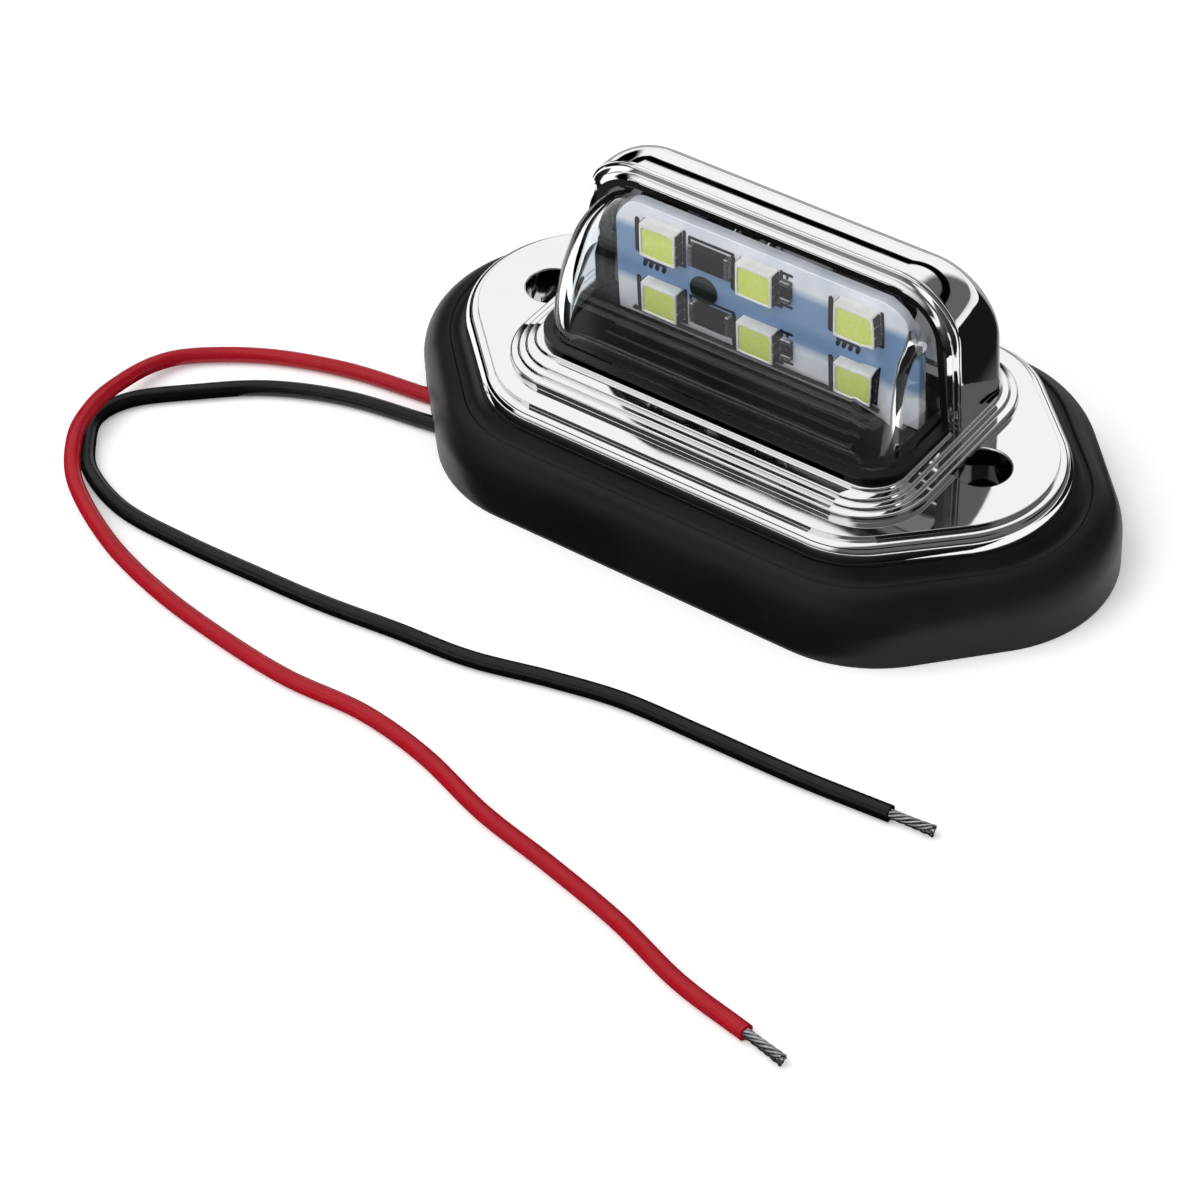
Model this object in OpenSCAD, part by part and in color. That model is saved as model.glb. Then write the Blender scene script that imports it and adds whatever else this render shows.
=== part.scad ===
// Number plate lamp: a chrome-plated hooded housing on a rubber pad, with a clear
// lens over a board of six light-emitting diodes, and two bare-ended leads.
// X runs along the lamp, the lens faces -Y, Z is up out of the mounting face.
// The origin is the middle of the pad's underside.

/* [Rubber pad] */
// Length of the pad at its foot
pad_len = 103; // [98:0.5:112]
// Width of the pad at its foot
pad_w = 56.2; // [53:0.2:62]
// Radius of the two pointed ends
pad_tip_r = 18.5; // [16:0.5:21]
// Radius of the four corners of the long sides
pad_corner_r = 20; // [17:0.5:22]
// Distance between the corner centres of a long side
pad_side = 46.2; // [42:0.2:50]
// Height of the seat that the housing stands on
pad_h = 11.7; // [10.8:0.1:14]
// Height of the upright skirt, below the shoulder
pad_skirt_h = 4.8; // [3.5:0.1:6]
// Height of the soft ridge between the shoulder and the cove
pad_ridge_h = 10.3; // [9.8:0.05:10.6]
// Length of the window in the pad
window_len = 50; // [44:1:52]
// Width of the window in the pad
window_w = 30; // [26:0.5:31]
// Corner radius of the window
window_r = 6; // [3:0.5:10]

/* [Flange] */
// Length of the flange's flat top
flange_len = 85.4; // [82:0.2:90]
// Width of the flange's flat top
flange_w = 42.6; // [41:0.2:46]
// Radius of the flange's two ends
flange_tip_r = 14.1; // [13:0.1:16]
// Radius of the flange's four corners
flange_corner_r = 11.9; // [10:0.1:14]
// Distance between the corner centres of a long side
flange_side = 43.4; // [40:0.2:46]
// Height of the flange's top above the pad's seat
flange_h = 3.5; // [3:0.1:5]
// How far the rolled rim stands out from the flat top
rim_w = 1.9; // [1.5:0.1:2.4]
// Width of the groove between the flat top and the rolled rim
rim_groove = 0.5; // [0.3:0.05:0.8]
// Thickness of the moulding
wall = 2; // [1.5:0.1:2.4]

/* [Plinth] */
// Length of the stepped plinth at its foot
plinth_len = 63; // [61:0.5:66]
// Width of the stepped plinth at its foot
plinth_w = 36.6; // [36:0.2:40]
// Corner radius of the plinth
plinth_r = 9; // [7:0.5:10]
// Height of the plinth above the flange
plinth_h = 2.5; // [2:0.1:3.5]
// Height of the plinth's first, tall step
first_riser = 1; // [0.6:0.1:1.4]
// Number of low steps above it
step_count = 3; // [2:1:4]
// Width of one step's tread
tread_w = 1.05; // [0.7:0.05:1.1]
// Width of the flat round the raised middle of the deck
deck_edge = 1.85; // [0.8:0.05:1.9]
// Width of the same flat at the deck's two ends
deck_end = 1.05; // [0.8:0.05:1.9]

/* [Hood] */
// Length of the hood at its top
hood_len = 57; // [55:0.5:60]
// Height of the hood above the flange
hood_h = 24.1; // [22.5:0.1:30]
// Depth of the hood from its mouth to its back
hood_depth = 12.4; // [10.6:0.1:13]
// Where the mouth of the hood stands along Y
mouth_y = 0.8; // [0.2:0.1:1.4]
// Radius of the hood's two top corners
hood_r = 8.5; // [7.5:0.1:10]
// Radius from the hood's top into its back
hood_back_r = 9.8; // [5:0.2:10]
// Radius of the hood's upright back corners
hood_plan_r = 2.5; // [1.5:0.1:4]
// Sideways slope of the mouth, the seal and the lens
mouth_draft = 0.08; // [0:0.01:0.1]
// Sideways slope of the hood's end walls, per millimetre of height
hood_draft = 0.03; // [0:0.005:0.05]
// Depth of the stepped collar round the mouth
collar_w = 1.4; // [1:0.1:2]

/* [Lens] */
// How far the lens bulges out of the mouth
lens_reach = 13.2; // [11:0.1:13.6]
// Height of the lens's upright front, above the deck
lens_upright = 2.4; // [1:0.1:6]
// Thickness of the lens
lens_wall = 1.8; // [1:0.1:2]
// Corner radius of the lens, seen from above
lens_corner_r = 5; // [3:0.5:8]
// How far the lens reaches into the hood
lens_lap = 1.7; // [1:0.1:2.5]
// Width of the black seal round the lens
seal_w = 1.2; // [0.8:0.1:1.5]
// Height of the seal round the lens's foot, above the deck
seal_h = 0.8; // [0.6:0.1:1.4]
// Thickness of the seal's sheet, below the lens
sheet_h = 0.4; // [0.2:0.1:0.5]

/* [Board] */
// Gap between the ends of the circuit board and the lens
board_gap = 0.9; // [0.5:0.1:2]
// Gap between the top of the circuit board and the lens
board_top_gap = 0.3; // [0.2:0.1:1]
// Radius of the board's two upper corners
board_r = 4; // [3:0.1:5]
// Thickness of the circuit board
board_t = 1.6; // [0.8:0.1:2]
// Where the front of the board stands, behind the mouth
board_set = -0.4; // [-0.8:0.1:0.2]
// How deep the board's foot goes below the deck
board_sink = 1.5; // [1:0.1:1.8]
// Distance from the board's end to the middle of the outer diodes
led_inset = 7.6; // [6:0.1:8.6]
// Distance between the two rows
row_pitch = 9.2; // [8:0.1:10.4]
// Height of the lower row above the board's foot
row_low = 4.7; // [4.7:0.1:5]
// Width of a diode's package
led_w = 5.6; // [4:0.1:6]
// Height of a diode's package
led_h = 5; // [3.5:0.1:5.4]
// Thickness of a diode's package
led_t = 1.6; // [1:0.1:2]
// Wall left round a diode's yellow window
led_edge = 0.4; // [0.3:0.05:0.8]
// Diameter of the rivet that holds the board
rivet_d = 2.4; // [2:0.1:3]
// Diameter of the rivet's head
rivet_head_d = 4.2; // [3.4:0.1:4.6]

/* [Fixing holes] */
// Distance between the two screw holes
hole_spacing = 67.4; // [66:0.2:70]
// Diameter of each screw hole
hole_d = 4.6; // [3.5:0.1:5.5]
// Diameter of the well that the screw's head sits in
well_d = 7.3; // [6.4:0.1:7.6]
// Depth of that well
well_depth = 4; // [2.5:0.1:4.5]
// Diameter of the boss below the flange
boss_d = 10.4; // [9.6:0.1:11]
// Length of the boss below the pad's seat
boss_drop = 2.5; // [1.5:0.1:4]

/* [Leads] */
// Diameter of each lead
lead_d = 2.2; // [1.6:0.1:2.4]
// Length of each stripped tip
strip_len = 6; // [4:0.5:8]
// Diameter of the tinned strands
strand_d = 1.3; // [0.8:0.1:1.5]

/* [Hidden] */

// Points round one outline, and sides of a round part
ring_n = 60;
$fn = 48;
eps = 0.01;

// Heights above the mounting face
seat_z = pad_h;
top_z = seat_z + flange_h;
deck_z = top_z + plinth_h;
hood_top = top_z + hood_h;
plate_z = top_z - wall;
board_z = deck_z - board_sink;

// Places along Y, and the back's radius, which leaves a flat behind the collar
back_y = mouth_y + hood_depth;
back_r = min(hood_back_r, hood_depth - collar_w - 0.4);
inner_back_y = back_y - wall;
board_y = mouth_y + board_set;
board_back_y = board_y + board_t;
lens_back_y = mouth_y + lens_lap;
lens_front_y = mouth_y - lens_reach;

// The hood's inside, and the lens that the seal holds in it
mouth_half = hood_len / 2 - wall;
mouth_top = hood_top - wall;
mouth_r = hood_r - wall;
lens_half = mouth_half - seal_w;
lens_top = mouth_top - seal_w;
lens_r = mouth_r - seal_w;

// The board, in the room that the lens leaves
board_w = 2 * (lens_half - lens_wall - board_gap);
board_h = lens_top - lens_wall - board_top_gap - board_z;
led_pitch = board_w / 2 - led_inset;

// The slot behind the deck, where the board stands and the leads come up
slot_len = board_w + 2;
hollow_inset = wall + 0.5;
hollow_fit = 0.1;

// The rivet, its boss on the hood's back, and its seat
rivet_x = -led_pitch / 2 - 1.25;
rivet_z = board_z + row_low + 3.8;
rivet_head_t = 0.8;
rivet_len = 5;
rivet_fit = 0.1;
rivet_boss_d = 6;

// Chip resistors, beside the first and the second diode of a row
ballast_gap = 1.55;
ballast = [led_pitch - led_w - 2 * ballast_gap, 0.9, 3.2];
ballast_x = -led_pitch / 2;
chip = [1.6, 0.6, 3.2];
chip_gap = 0.6;
chip_x = led_w / 2 + chip_gap + chip.x / 2;

// Rear solder joints, and the ends of the leads that rise out of the potting
solder_d = 2.8;
solder_t = 0.8;
tail_clear = 0.85;
tail_pitch = 7;
red_tail_x = rivet_x + rivet_boss_d / 2 + tail_clear + solder_d / 2;
black_tail_x = red_tail_x + tail_pitch;
tail_h = 4;
tail_gap = 0.2;

// Grooves below the pad, with room round each lead
groove_w = lead_d + 0.8;
groove_h = lead_d + 0.5;
groove_end = 60;
boss_fit = 0.2;
hole_fit = 0.3;

// Ribs on the seal's sheet, under the lens
rib_count = 5;
rib_h = 0.2;
rib_w = 0.7;
rib_gap = 1.4;
rib_end = 4;

// Room between the lens and the seal's arch, how far the arch stands in from the mouth, and
// room between the seal's sheet and the board
seal_fit = 0.05;
seal_set = 0.35;
sheet_fit = 0.1;

// Outline of the pad: circles as [x, y, radius], whose hull is the outline
function hexagon(tip, side, half_w, tip_r, corner_r) = [
    [tip - tip_r, 0, tip_r],
    [tip_r - tip, 0, tip_r],
    for (sx = [-1, 1], sy = [-1, 1]) [sx * side / 2, sy * (half_w - corner_r), corner_r]
];
function rounded(half_l, y0, y1, r) = [
    for (sx = [-1, 1], y = [y0 + r, y1 - r]) [sx * (half_l - r), y, r]
];
pad_foot = hexagon(pad_len / 2, pad_side, pad_w / 2, pad_tip_r, pad_corner_r);
flange_top = hexagon(flange_len / 2, flange_side, flange_w / 2, flange_tip_r, flange_corner_r);
function grown(circles, d) = [for (c = circles) [c.x, c.y, c[2] + d]];
function mixed(a, b, t) = [for (i = [0:len(a) - 1]) a[i] * (1 - t) + b[i] * t];

// The hull of some circles, as points at equal turns of its outward direction
function support(circles, a) = [for (c = circles) c.x * cos(a) + c.y * sin(a) + c[2]];
function touched(circles, a) = let (s = support(circles, a)) circles[search(max(s), s)[0]];
function outline(circles, n) = [
    for (i = [0:n - 1])
        let (a = 360 * (i + 0.5) / n, c = touched(circles, a))
            [c.x + c[2] * cos(a), c.y + c[2] * sin(a)]
];
function level(circles, z, n) = [for (p = outline(circles, n)) [p.x, p.y, z]];

// A closed skin through rings of equal length
module skin(rings) {
    n = len(rings[0]);
    m = len(rings);
    sides = [
        for (k = [0:m - 2], i = [0:n - 1])
            [k * n + i, (k + 1) * n + i, (k + 1) * n + (i + 1) % n, k * n + (i + 1) % n]
    ];
    caps = [[for (i = [0:n - 1]) i], [for (i = [n - 1:-1:0]) (m - 1) * n + i]];
    polyhedron(points = [for (r = rings) each r], faces = concat(sides, caps), convexity = 6);
}

// Rubber pad. Its profile goes from the foot (0) to the housing's rim (1), with heights:
// a skirt, a round shoulder, a thin ridge, a cove and the seat.
shoulder = [[0.02, 0.12], [0.07, 0.34], [0.15, 0.55], [0.26, 0.73], [0.40, 0.87], [0.53, 0.96]];
cove = [[0.67, -0.15], [0.73, -0.2], [0.80, 0], [0.88, 0.35], [0.95, 0.75], [0.985, 1]];
pad_profile = [
    [0.03, 0], [0, 0.5], [0, pad_skirt_h],
    for (s = shoulder) [s.x, pad_skirt_h + s.y * (pad_ridge_h - pad_skirt_h)],
    [0.61, pad_ridge_h],
    for (c = cove) [c.x, pad_ridge_h + c.y * (seat_z - pad_ridge_h)]
];
rim_outline = grown(flange_top, rim_w);

// Where each lead passes below the pad: a point on its line, and its direction
red_line = [[-38, -13.8], 187];
black_line = [[-34, -17.8], 189];

module groove(line) {
    translate([line[0].x, line[0].y, 0])
        rotate([0, 0, line[1]])
            translate([-groove_end / 3, -groove_w / 2, -eps])
                cube([groove_end, groove_w, groove_h + eps]);
}

module rubber_pad() {
    color("#1d1c1d")
        difference() {
            skin([for (p = pad_profile) level(mixed(pad_foot, rim_outline, p.x), p.y, ring_n)]);
            translate([0, 0, -eps])
                linear_extrude(seat_z + 2 * eps)
                    polygon(outline(rounded(window_len / 2, -window_w / 2, window_w / 2, window_r), 32));
            for (side = [-1, 1])
                translate([side * hole_spacing / 2, 0, 0]) {
                    translate([0, 0, -eps])
                        cylinder(d = hole_d + 2 * hole_fit, h = seat_z + 2 * eps);
                    translate([0, 0, seat_z - boss_drop - boss_fit])
                        cylinder(d = boss_d + 2 * boss_fit, h = boss_drop + boss_fit + eps);
                }
            groove(red_line);
            groove(black_line);
        }
}

// Housing. The rolled rim is a profile of offsets from the flat top and depths below it.
// The rim is a quarter of an ellipse, and the groove inside it is shallow.
rim_drop = flange_h - 0.4;
rim_profile = [
    [rim_w, flange_h],
    for (a = [90:-15:0])
        [rim_groove + (rim_w - rim_groove) * sin(a), 0.05 + (rim_drop - 0.05) * (1 - cos(a))],
    [rim_groove * 0.8, 0.2], [rim_groove * 0.6, 0.28], [rim_groove * 0.3, 0.28],
    [rim_groove * 0.1, 0.15], [0, 0]
];

module flange() {
    skin([for (p = rim_profile) level(grown(flange_top, p.x), top_z - p.y, ring_n)]);
}

// Steps round the plinth: each has a riser, a rounded nose and a tread
low_riser = (plinth_h - first_riser) / step_count;
nose_r = 0.25;
step_in = [for (k = [0:step_count - 1]) k * tread_w, (step_count - 1) * tread_w + deck_edge];
step_long = [for (k = [0:step_count - 1]) 0, deck_edge - deck_end];
plinth_rings = [
    [-0.5, -wall / 2, 0], [-0.5, 0, 0],
    for (k = [0:step_count])
        let (foot = k == 0 ? 0 : first_riser + (k - 1) * low_riser, head = first_riser + k * low_riser)
            each [
                [step_in[k] - (k == 0 ? 0.15 : 0), foot + 0.05, step_long[k]],
                [step_in[k], head - nose_r, step_long[k]],
                [step_in[k] + nose_r * 0.3, head - nose_r * 0.3, step_long[k]],
                [step_in[k] + nose_r, head, step_long[k]]
            ]
];
function plinth_circles(inset, long = 0) = rounded(
    plinth_len / 2 - inset + long, inset - plinth_w / 2, plinth_w / 2 - inset, plinth_r - inset
);

module plinth() {
    skin([for (p = plinth_rings) level(plinth_circles(p.x, p.z), top_z + p.y, ring_n)]);
}

// One arch across the hood at a given Y, pulled in by x_in at the ends and z_in at the top
arch_n = 8;
function arch(y, half, top, r, x_in, z_in, foot, draft = hood_draft) =
    let (
        t = top - z_in,
        h = half - x_in,
        c = t - r,
        arc = [for (i = [0:arch_n]) let (a = 90 * i / arch_n) [h - r + r * cos(a), c + r * sin(a)]]
    )
    [
        [-h - draft * (t - foot), y, foot],
        for (p = arc) [-p.x - draft * (t - p.y), y, p.y],
        for (i = [arch_n:-1:0]) [arc[i].x + draft * (t - arc[i].y), y, arc[i].y],
        [h + draft * (t - foot), y, foot]
    ];

// How far a hood's skin has turned in at Y, with its back at "back"
function turned(y, back, r) = y <= back - r ? 0 : r - sqrt(max(0, r * r - pow(y - back + r, 2)));
back_turns = [0, 18, 34, 48, 60, 71, 81, 90];

// The collar goes from the mouth (0) to its full depth (1), and is drawn in by a share of
// the wall: a leaning face, a groove and two low steps.
collar = [
    [0, 0.98], [0.18, 0.74], [0.4, 0.52], [0.52, 0.52], [0.6, 0.42], [0.64, 0.22],
    [0.74, 0.16], [0.86, 0.16], [0.92, 0.04], [1, 0]
];

module hood_skin(front, back, half, top, r, back_r, plan_r, foot, mouth, draft) {
    skin([
        for (m = mouth) arch(front + m.x, half, top, r, m.y, m.y, foot, draft),
        for (a = back_turns)
            let (y = back - back_r + back_r * sin(a))
                arch(y, half, top, r, turned(y, back, plan_r), turned(y, back, back_r), foot, draft)
    ]);
}

module hood_outside() {
    hood_skin(mouth_y, back_y, hood_len / 2, hood_top, hood_r, back_r, hood_plan_r, top_z,
        [for (c = collar) [c.x * collar_w, c.y * wall]], hood_draft);
}

module hood_inside() {
    hood_skin(mouth_y - 1, inner_back_y, mouth_half, mouth_top, mouth_r, back_r - wall,
        max(0.5, hood_plan_r - wall), deck_z, [[0, 0]], mouth_draft);
}

// The slot through the deck, and the hollow below the plinth that the potting fills
module slot_shape() {
    translate([-slot_len / 2, board_y])
        square([slot_len, inner_back_y - board_y - 0.5]);
}

module hollow_shape() {
    difference() {
        polygon(outline(plinth_circles(hollow_inset), 32));
        for (side = [-1, 1])
            translate([side * hole_spacing / 2, 0])
                circle(d = boss_d + hollow_fit);
    }
}

module board_boss() {
    translate([rivet_x, board_back_y, rivet_z])
        rotate([-90, 0, 0])
            cylinder(d = rivet_boss_d, h = inner_back_y - board_back_y + wall / 2);
}

module housing() {
    color("#d8dadd")
        difference() {
            union() {
                difference() {
                    union() {
                        flange();
                        plinth();
                        hood_outside();
                    }
                    hood_inside();
                    translate([0, 0, plate_z])
                        linear_extrude(deck_z - plate_z + 1)
                            slot_shape();
                    translate([0, 0, seat_z - eps])
                        linear_extrude(deck_z - wall - seat_z + eps)
                            hollow_shape();
                }
                board_boss();
                for (side = [-1, 1])
                    translate([side * hole_spacing / 2, 0, seat_z - boss_drop])
                        cylinder(d = boss_d, h = boss_drop + flange_h - wall / 2);
            }
            for (side = [-1, 1])
                translate([side * hole_spacing / 2, 0, 0]) {
                    translate([0, 0, top_z - well_depth])
                        cylinder(d = well_d, h = well_depth + eps);
                    cylinder(d = hole_d, h = top_z);
                }
            translate([rivet_x, board_back_y - eps, rivet_z])
                rotate([-90, 0, 0])
                    cylinder(d = rivet_d, h = rivet_len + eps);
        }
}

// Lens. At each height: how far the front stands out, and how wide the lens is.
function lens_front(z, reach, low, top) =
    z <= low ? mouth_y - reach : mouth_y - reach * sqrt(max(0, 1 - pow((z - low) / (top - low), 2)));
function lens_width(z, half, top, r) =
    z <= top - r ? half : half - r + sqrt(max(0, r * r - pow(z - top + r, 2)));
lens_turns = [0, 12, 24, 36, 48, 58, 67, 75, 82, 90];

function lens_ring(z, inset, back) =
    let (
        low = deck_z + lens_upright,
        y0 = lens_front(z, lens_reach - inset, low, lens_top - inset),
        slope = mouth_draft * (lens_top - inset - z),
        h = lens_width(z, lens_half - inset, lens_top - inset, max(1, lens_r - inset)) + slope,
        r = max(0.3, min(lens_corner_r - inset, mouth_y - y0 + 0.3)),
        arc = [for (i = [0:6]) let (a = 90 * i / 6) [h - r + r * cos(a), y0 + r - r * sin(a)]]
    )
    [
        [h, back, z],
        [-h, back, z],
        for (p = arc) [-p.x, p.y, z],
        for (i = [6:-1:0]) [arc[i].x, arc[i].y, z]
    ];

module lens_body(inset, foot, back) {
    low = deck_z + lens_upright;
    rise = lens_top - inset - low;
    skin([
        lens_ring(foot, inset, back),
        for (a = lens_turns) lens_ring(low + rise * sin(a), inset, back)
    ]);
}

module lens() {
    color("#dfe9f2", 0.35)
        difference() {
            lens_body(0, deck_z + sheet_h, lens_back_y);
            lens_body(lens_wall, deck_z - 1, lens_back_y + 1);
        }
}

// Seal: a ribbed sheet below the lens, a strip round its foot, and an arch in the hood's mouth
module seal_arch() {
    front = mouth_y + seal_set;
    difference() {
        skin([
            for (y = [front, lens_back_y])
                arch(y, mouth_half, mouth_top, mouth_r, 0, 0, deck_z, mouth_draft)
        ]);
        skin([
            for (y = [front - 1, lens_back_y + 1])
                arch(y, lens_half + seal_fit, lens_top + seal_fit, lens_r + seal_fit, 0, 0,
                    deck_z - 1, mouth_draft)
        ]);
    }
}

module seal_foot() {
    front = mouth_y + seal_set;
    translate([0, 0, deck_z])
        linear_extrude(seal_h)
            difference() {
                polygon([
                    for (p = lens_ring(deck_z + seal_h, -seal_w, front)) [p.x, p.y]
                ]);
                polygon([
                    for (p = lens_ring(deck_z, 0, front + 1)) [p.x, p.y]
                ]);
            }
}

module seal_sheet() {
    translate([0, 0, deck_z])
        linear_extrude(sheet_h)
            difference() {
                polygon([
                    for (p = lens_ring(deck_z + sheet_h, -seal_w, lens_back_y)) [p.x, p.y]
                ]);
                offset(delta = sheet_fit)
                    slot_shape();
            }
    rib_half = lens_half - lens_wall - rib_end;
    first = lens_front_y + lens_wall + rib_gap;
    for (k = [0:rib_count - 1])
        translate([-rib_half, first + k * (board_y - first) / rib_count, deck_z + sheet_h - eps])
            cube([2 * rib_half, rib_w, rib_h + eps]);
}

module lens_seal() {
    color("#0c0c0d") {
        seal_arch();
        seal_foot();
        seal_sheet();
    }
}

// Board: its upper corners are round, to clear the lens's own, and it has a hole for the rivet
module board_shape() {
    translate([-board_w / 2, 0])
        square([board_w, board_h - board_r]);
    translate([board_r - board_w / 2, 0])
        square([board_w - 2 * board_r, board_h]);
    for (side = [-1, 1])
        translate([side * (board_w / 2 - board_r), board_h - board_r])
            circle(board_r);
}

module circuit_board() {
    color("#dfe6ee")
        difference() {
            translate([0, board_back_y, board_z])
                rotate([90, 0, 0])
                    linear_extrude(board_t)
                        board_shape();
            translate([rivet_x, board_y - eps, rivet_z])
                rotate([-90, 0, 0])
                    cylinder(d = rivet_d + 2 * rivet_fit, h = board_t + 2 * eps);
        }
}

// Diodes are numbered along the upper row, and then along the lower row
function led_x(k) = ((k - 1) % 3 - 1) * led_pitch;
function led_z(k) = board_z + row_low + (k <= 3 ? row_pitch : 0);

module led_package(k) {
    color("#f1f1ec")
        translate([led_x(k), board_y, led_z(k)])
            difference() {
                translate([-led_w / 2, -led_t, -led_h / 2])
                    cube([led_w, led_t, led_h]);
                translate([led_edge - led_w / 2, -led_t - eps, led_edge - led_h / 2])
                    cube([led_w - 2 * led_edge, led_t / 2 + eps, led_h - 2 * led_edge]);
            }
}

module phosphor(k) {
    color("#cfe06a")
        translate([led_x(k) + led_edge - led_w / 2, board_y - led_t + 0.1, led_z(k) + led_edge - led_h / 2])
            cube([led_w - 2 * led_edge, led_t / 2 - 0.1, led_h - 2 * led_edge]);
}

module ballast_resistor(row_z) {
    color("#1b1b1d")
        translate([ballast_x - ballast.x / 2, board_y - ballast.y, row_z - ballast.z / 2])
            cube(ballast);
}

module small_resistor(row_z) {
    color("#1b1b1d")
        translate([chip_x - chip.x / 2, board_y - chip.y, row_z - chip.z / 2])
            cube(chip);
}

module board_rivet() {
    color("#141614")
        translate([rivet_x, board_y, rivet_z])
            rotate([-90, 0, 0]) {
                cylinder(d = rivet_d - 2 * rivet_fit, h = board_t + rivet_len - 0.3);
                translate([0, 0, -rivet_head_t])
                    cylinder(d = rivet_head_d, h = rivet_head_t);
            }
}

// Potting: fills the hollow below the plinth and the foot of the slot, up to the board
module potting() {
    color("#2a2a2c") {
        translate([0, 0, seat_z])
            linear_extrude(deck_z - wall - seat_z)
                hollow_shape();
        translate([0, 0, deck_z - wall - eps])
            linear_extrude(board_z - deck_z + wall + eps)
                slot_shape();
    }
}

// The end of one lead that rises behind the board, with its bare strands
module lead_tail(x) {
    translate([x, board_back_y + tail_gap + lead_d / 2, board_z])
        cylinder(d = lead_d, h = tail_h);
    translate([x, board_back_y + solder_t + strand_d / 2, board_z + tail_h - eps])
        cylinder(d = strand_d, h = 2.4);
}

module red_tail() {
    color("#a8142a")
        lead_tail(red_tail_x);
}

module black_tail() {
    color("#141414")
        lead_tail(black_tail_x);
}

module solder_joint(x) {
    color("#b9bcc0")
        translate([x, board_back_y, board_z + tail_h + 1.6])
            rotate([-90, 0, 0])
                cylinder(d1 = solder_d, d2 = solder_d * 0.6, h = solder_t);
}

module red_solder() {
    solder_joint(red_tail_x);
}

module black_solder() {
    solder_joint(black_tail_x);
}

// Routes of the leads: down out of the potting, through the pad's groove, and over the
// surface. The red lead rises over the black one where they touch, far left.
lead_z = lead_d / 2 + 0.05;
red_route = [
    [-14, -8, seat_z], [-14.2, -8.2, 8.2], [-17, -9.6, 3.9], [-23, -11.6, 1.3], [-32, -13, lead_z],
    [-45.1, -14.6, lead_z], [-57, -16.2, lead_z], [-68, -19.8, lead_z], [-76.5, -25.3, 1.3],
    [-79.6, -30.6, 2], [-79.9, -38, 3.2], [-79.2, -43.8, 3.6], [-76.9, -49.6, 3.6],
    [-71.9, -55.3, 2.3], [-61.5, -60.7, lead_z], [-50, -64.4, lead_z], [-38, -66.6, lead_z],
    [-26, -67.8, lead_z], [-14, -67.4, lead_z], [-3, -69.2, lead_z], [9, -73, lead_z],
    [21, -75.5, lead_z], [33, -78.4, lead_z], [44.5, -82.2, lead_z], [55.5, -84.3, lead_z]
];
black_route = [
    [-10, -11, seat_z], [-10.2, -11.1, 8.2], [-13, -12.4, 3.9], [-19, -14.9, 1.4], [-28, -16.9, lead_z],
    [-41, -18.9, lead_z], [-53.7, -21, lead_z], [-64, -25.2, lead_z], [-72, -31.4, lead_z],
    [-78, -37.2, lead_z], [-79.5, -42.5, lead_z], [-77, -47.2, lead_z], [-72.6, -51.6, lead_z],
    [-64, -54.9, lead_z], [-53, -55.4, lead_z], [-42, -55.1, lead_z], [-31, -54.6, lead_z],
    [-20, -53.4, lead_z], [-9, -52.4, lead_z], [2, -49.7, lead_z], [12, -47.8, lead_z],
    [24, -47.3, lead_z], [37, -46.9, lead_z], [50, -45.9, lead_z]
];

// A smooth curve through a route's points, with one point added between each two that lie
// far apart
function at(r, i) = r[max(0, min(len(r) - 1, i))];
function between(r, i) = (9 * (at(r, i) + at(r, i + 1)) - at(r, i - 1) - at(r, i + 2)) / 16;
far_apart = 7;
function smooth(r) = [
    for (i = [0:len(r) - 1])
        each (norm(at(r, i + 1) - r[i]) > far_apart ? [r[i], between(r, i)] : [r[i]])
];
function unit(v) = v / norm(v);
function heading(r, i) = i == 0 ? [0, 0, -1] : unit(at(r, i + 1) - at(r, i - 1));
tube_n = 8;
function tube_ring(r, i, radius) =
    let (
        t = heading(r, i),
        side = abs(t.z) > 0.9 ? [0, 1, 0] : unit(cross(t, [0, 0, 1])),
        across = unit(side - t * (side * t)),
        up = cross(across, t)
    )
    [
        for (k = [0:tube_n - 1])
            let (a = 360 * (k + 0.5) / tube_n) r[i] + radius * (cos(a) * across + sin(a) * up)
    ];

module tube(route, radius) {
    r = smooth(route);
    skin([for (i = [0:len(r) - 1]) tube_ring(r, i, radius)]);
}

module tip(route) {
    n = len(route);
    end = route[n - 1];
    way = end - route[n - 2];
    color("#c4c6c8")
        translate(end)
            rotate([0, 90, atan2(way.y, way.x)])
                cylinder(d = strand_d, h = strip_len);
}

module red_lead() {
    color("#a8142a")
        tube(red_route, lead_d / 2);
}

module red_lead_tip() {
    tip(red_route);
}

module black_lead() {
    color("#141414")
        tube(black_route, lead_d / 2);
}

module black_lead_tip() {
    tip(black_route);
}

rubber_pad();
housing();
lens();
lens_seal();
circuit_board();
led_package(1);  // led_1
led_package(2);  // led_2
led_package(3);  // led_3
led_package(4);  // led_4
led_package(5);  // led_5
led_package(6);  // led_6
phosphor(1);  // phosphor_1
phosphor(2);  // phosphor_2
phosphor(3);  // phosphor_3
phosphor(4);  // phosphor_4
phosphor(5);  // phosphor_5
phosphor(6);  // phosphor_6
ballast_resistor(led_z(1));  // ballast_resistor_1
ballast_resistor(led_z(4));  // ballast_resistor_2
small_resistor(led_z(1));  // small_resistor_1
small_resistor(led_z(4));  // small_resistor_2
board_rivet();
potting();
red_tail();
black_tail();
red_solder();
black_solder();
red_lead();
red_lead_tip();
black_lead();
black_lead_tip();
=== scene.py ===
"""Number plate lamp: the pieces, finishes and stage, laid out as an add-on and run as a script.

X runs along the lamp, the lens faces -Y, and Z is up out of the mounting face. Sizes are in
metres. Round forms are worked out as grids of points, and the hollows are cut out of them.
"""

import math

import bpy
import numpy as np
from bpy.props import FloatProperty, FloatVectorProperty, IntProperty, PointerProperty
from bpy.types import Operator, Panel, PropertyGroup
from mathutils import Matrix


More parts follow.
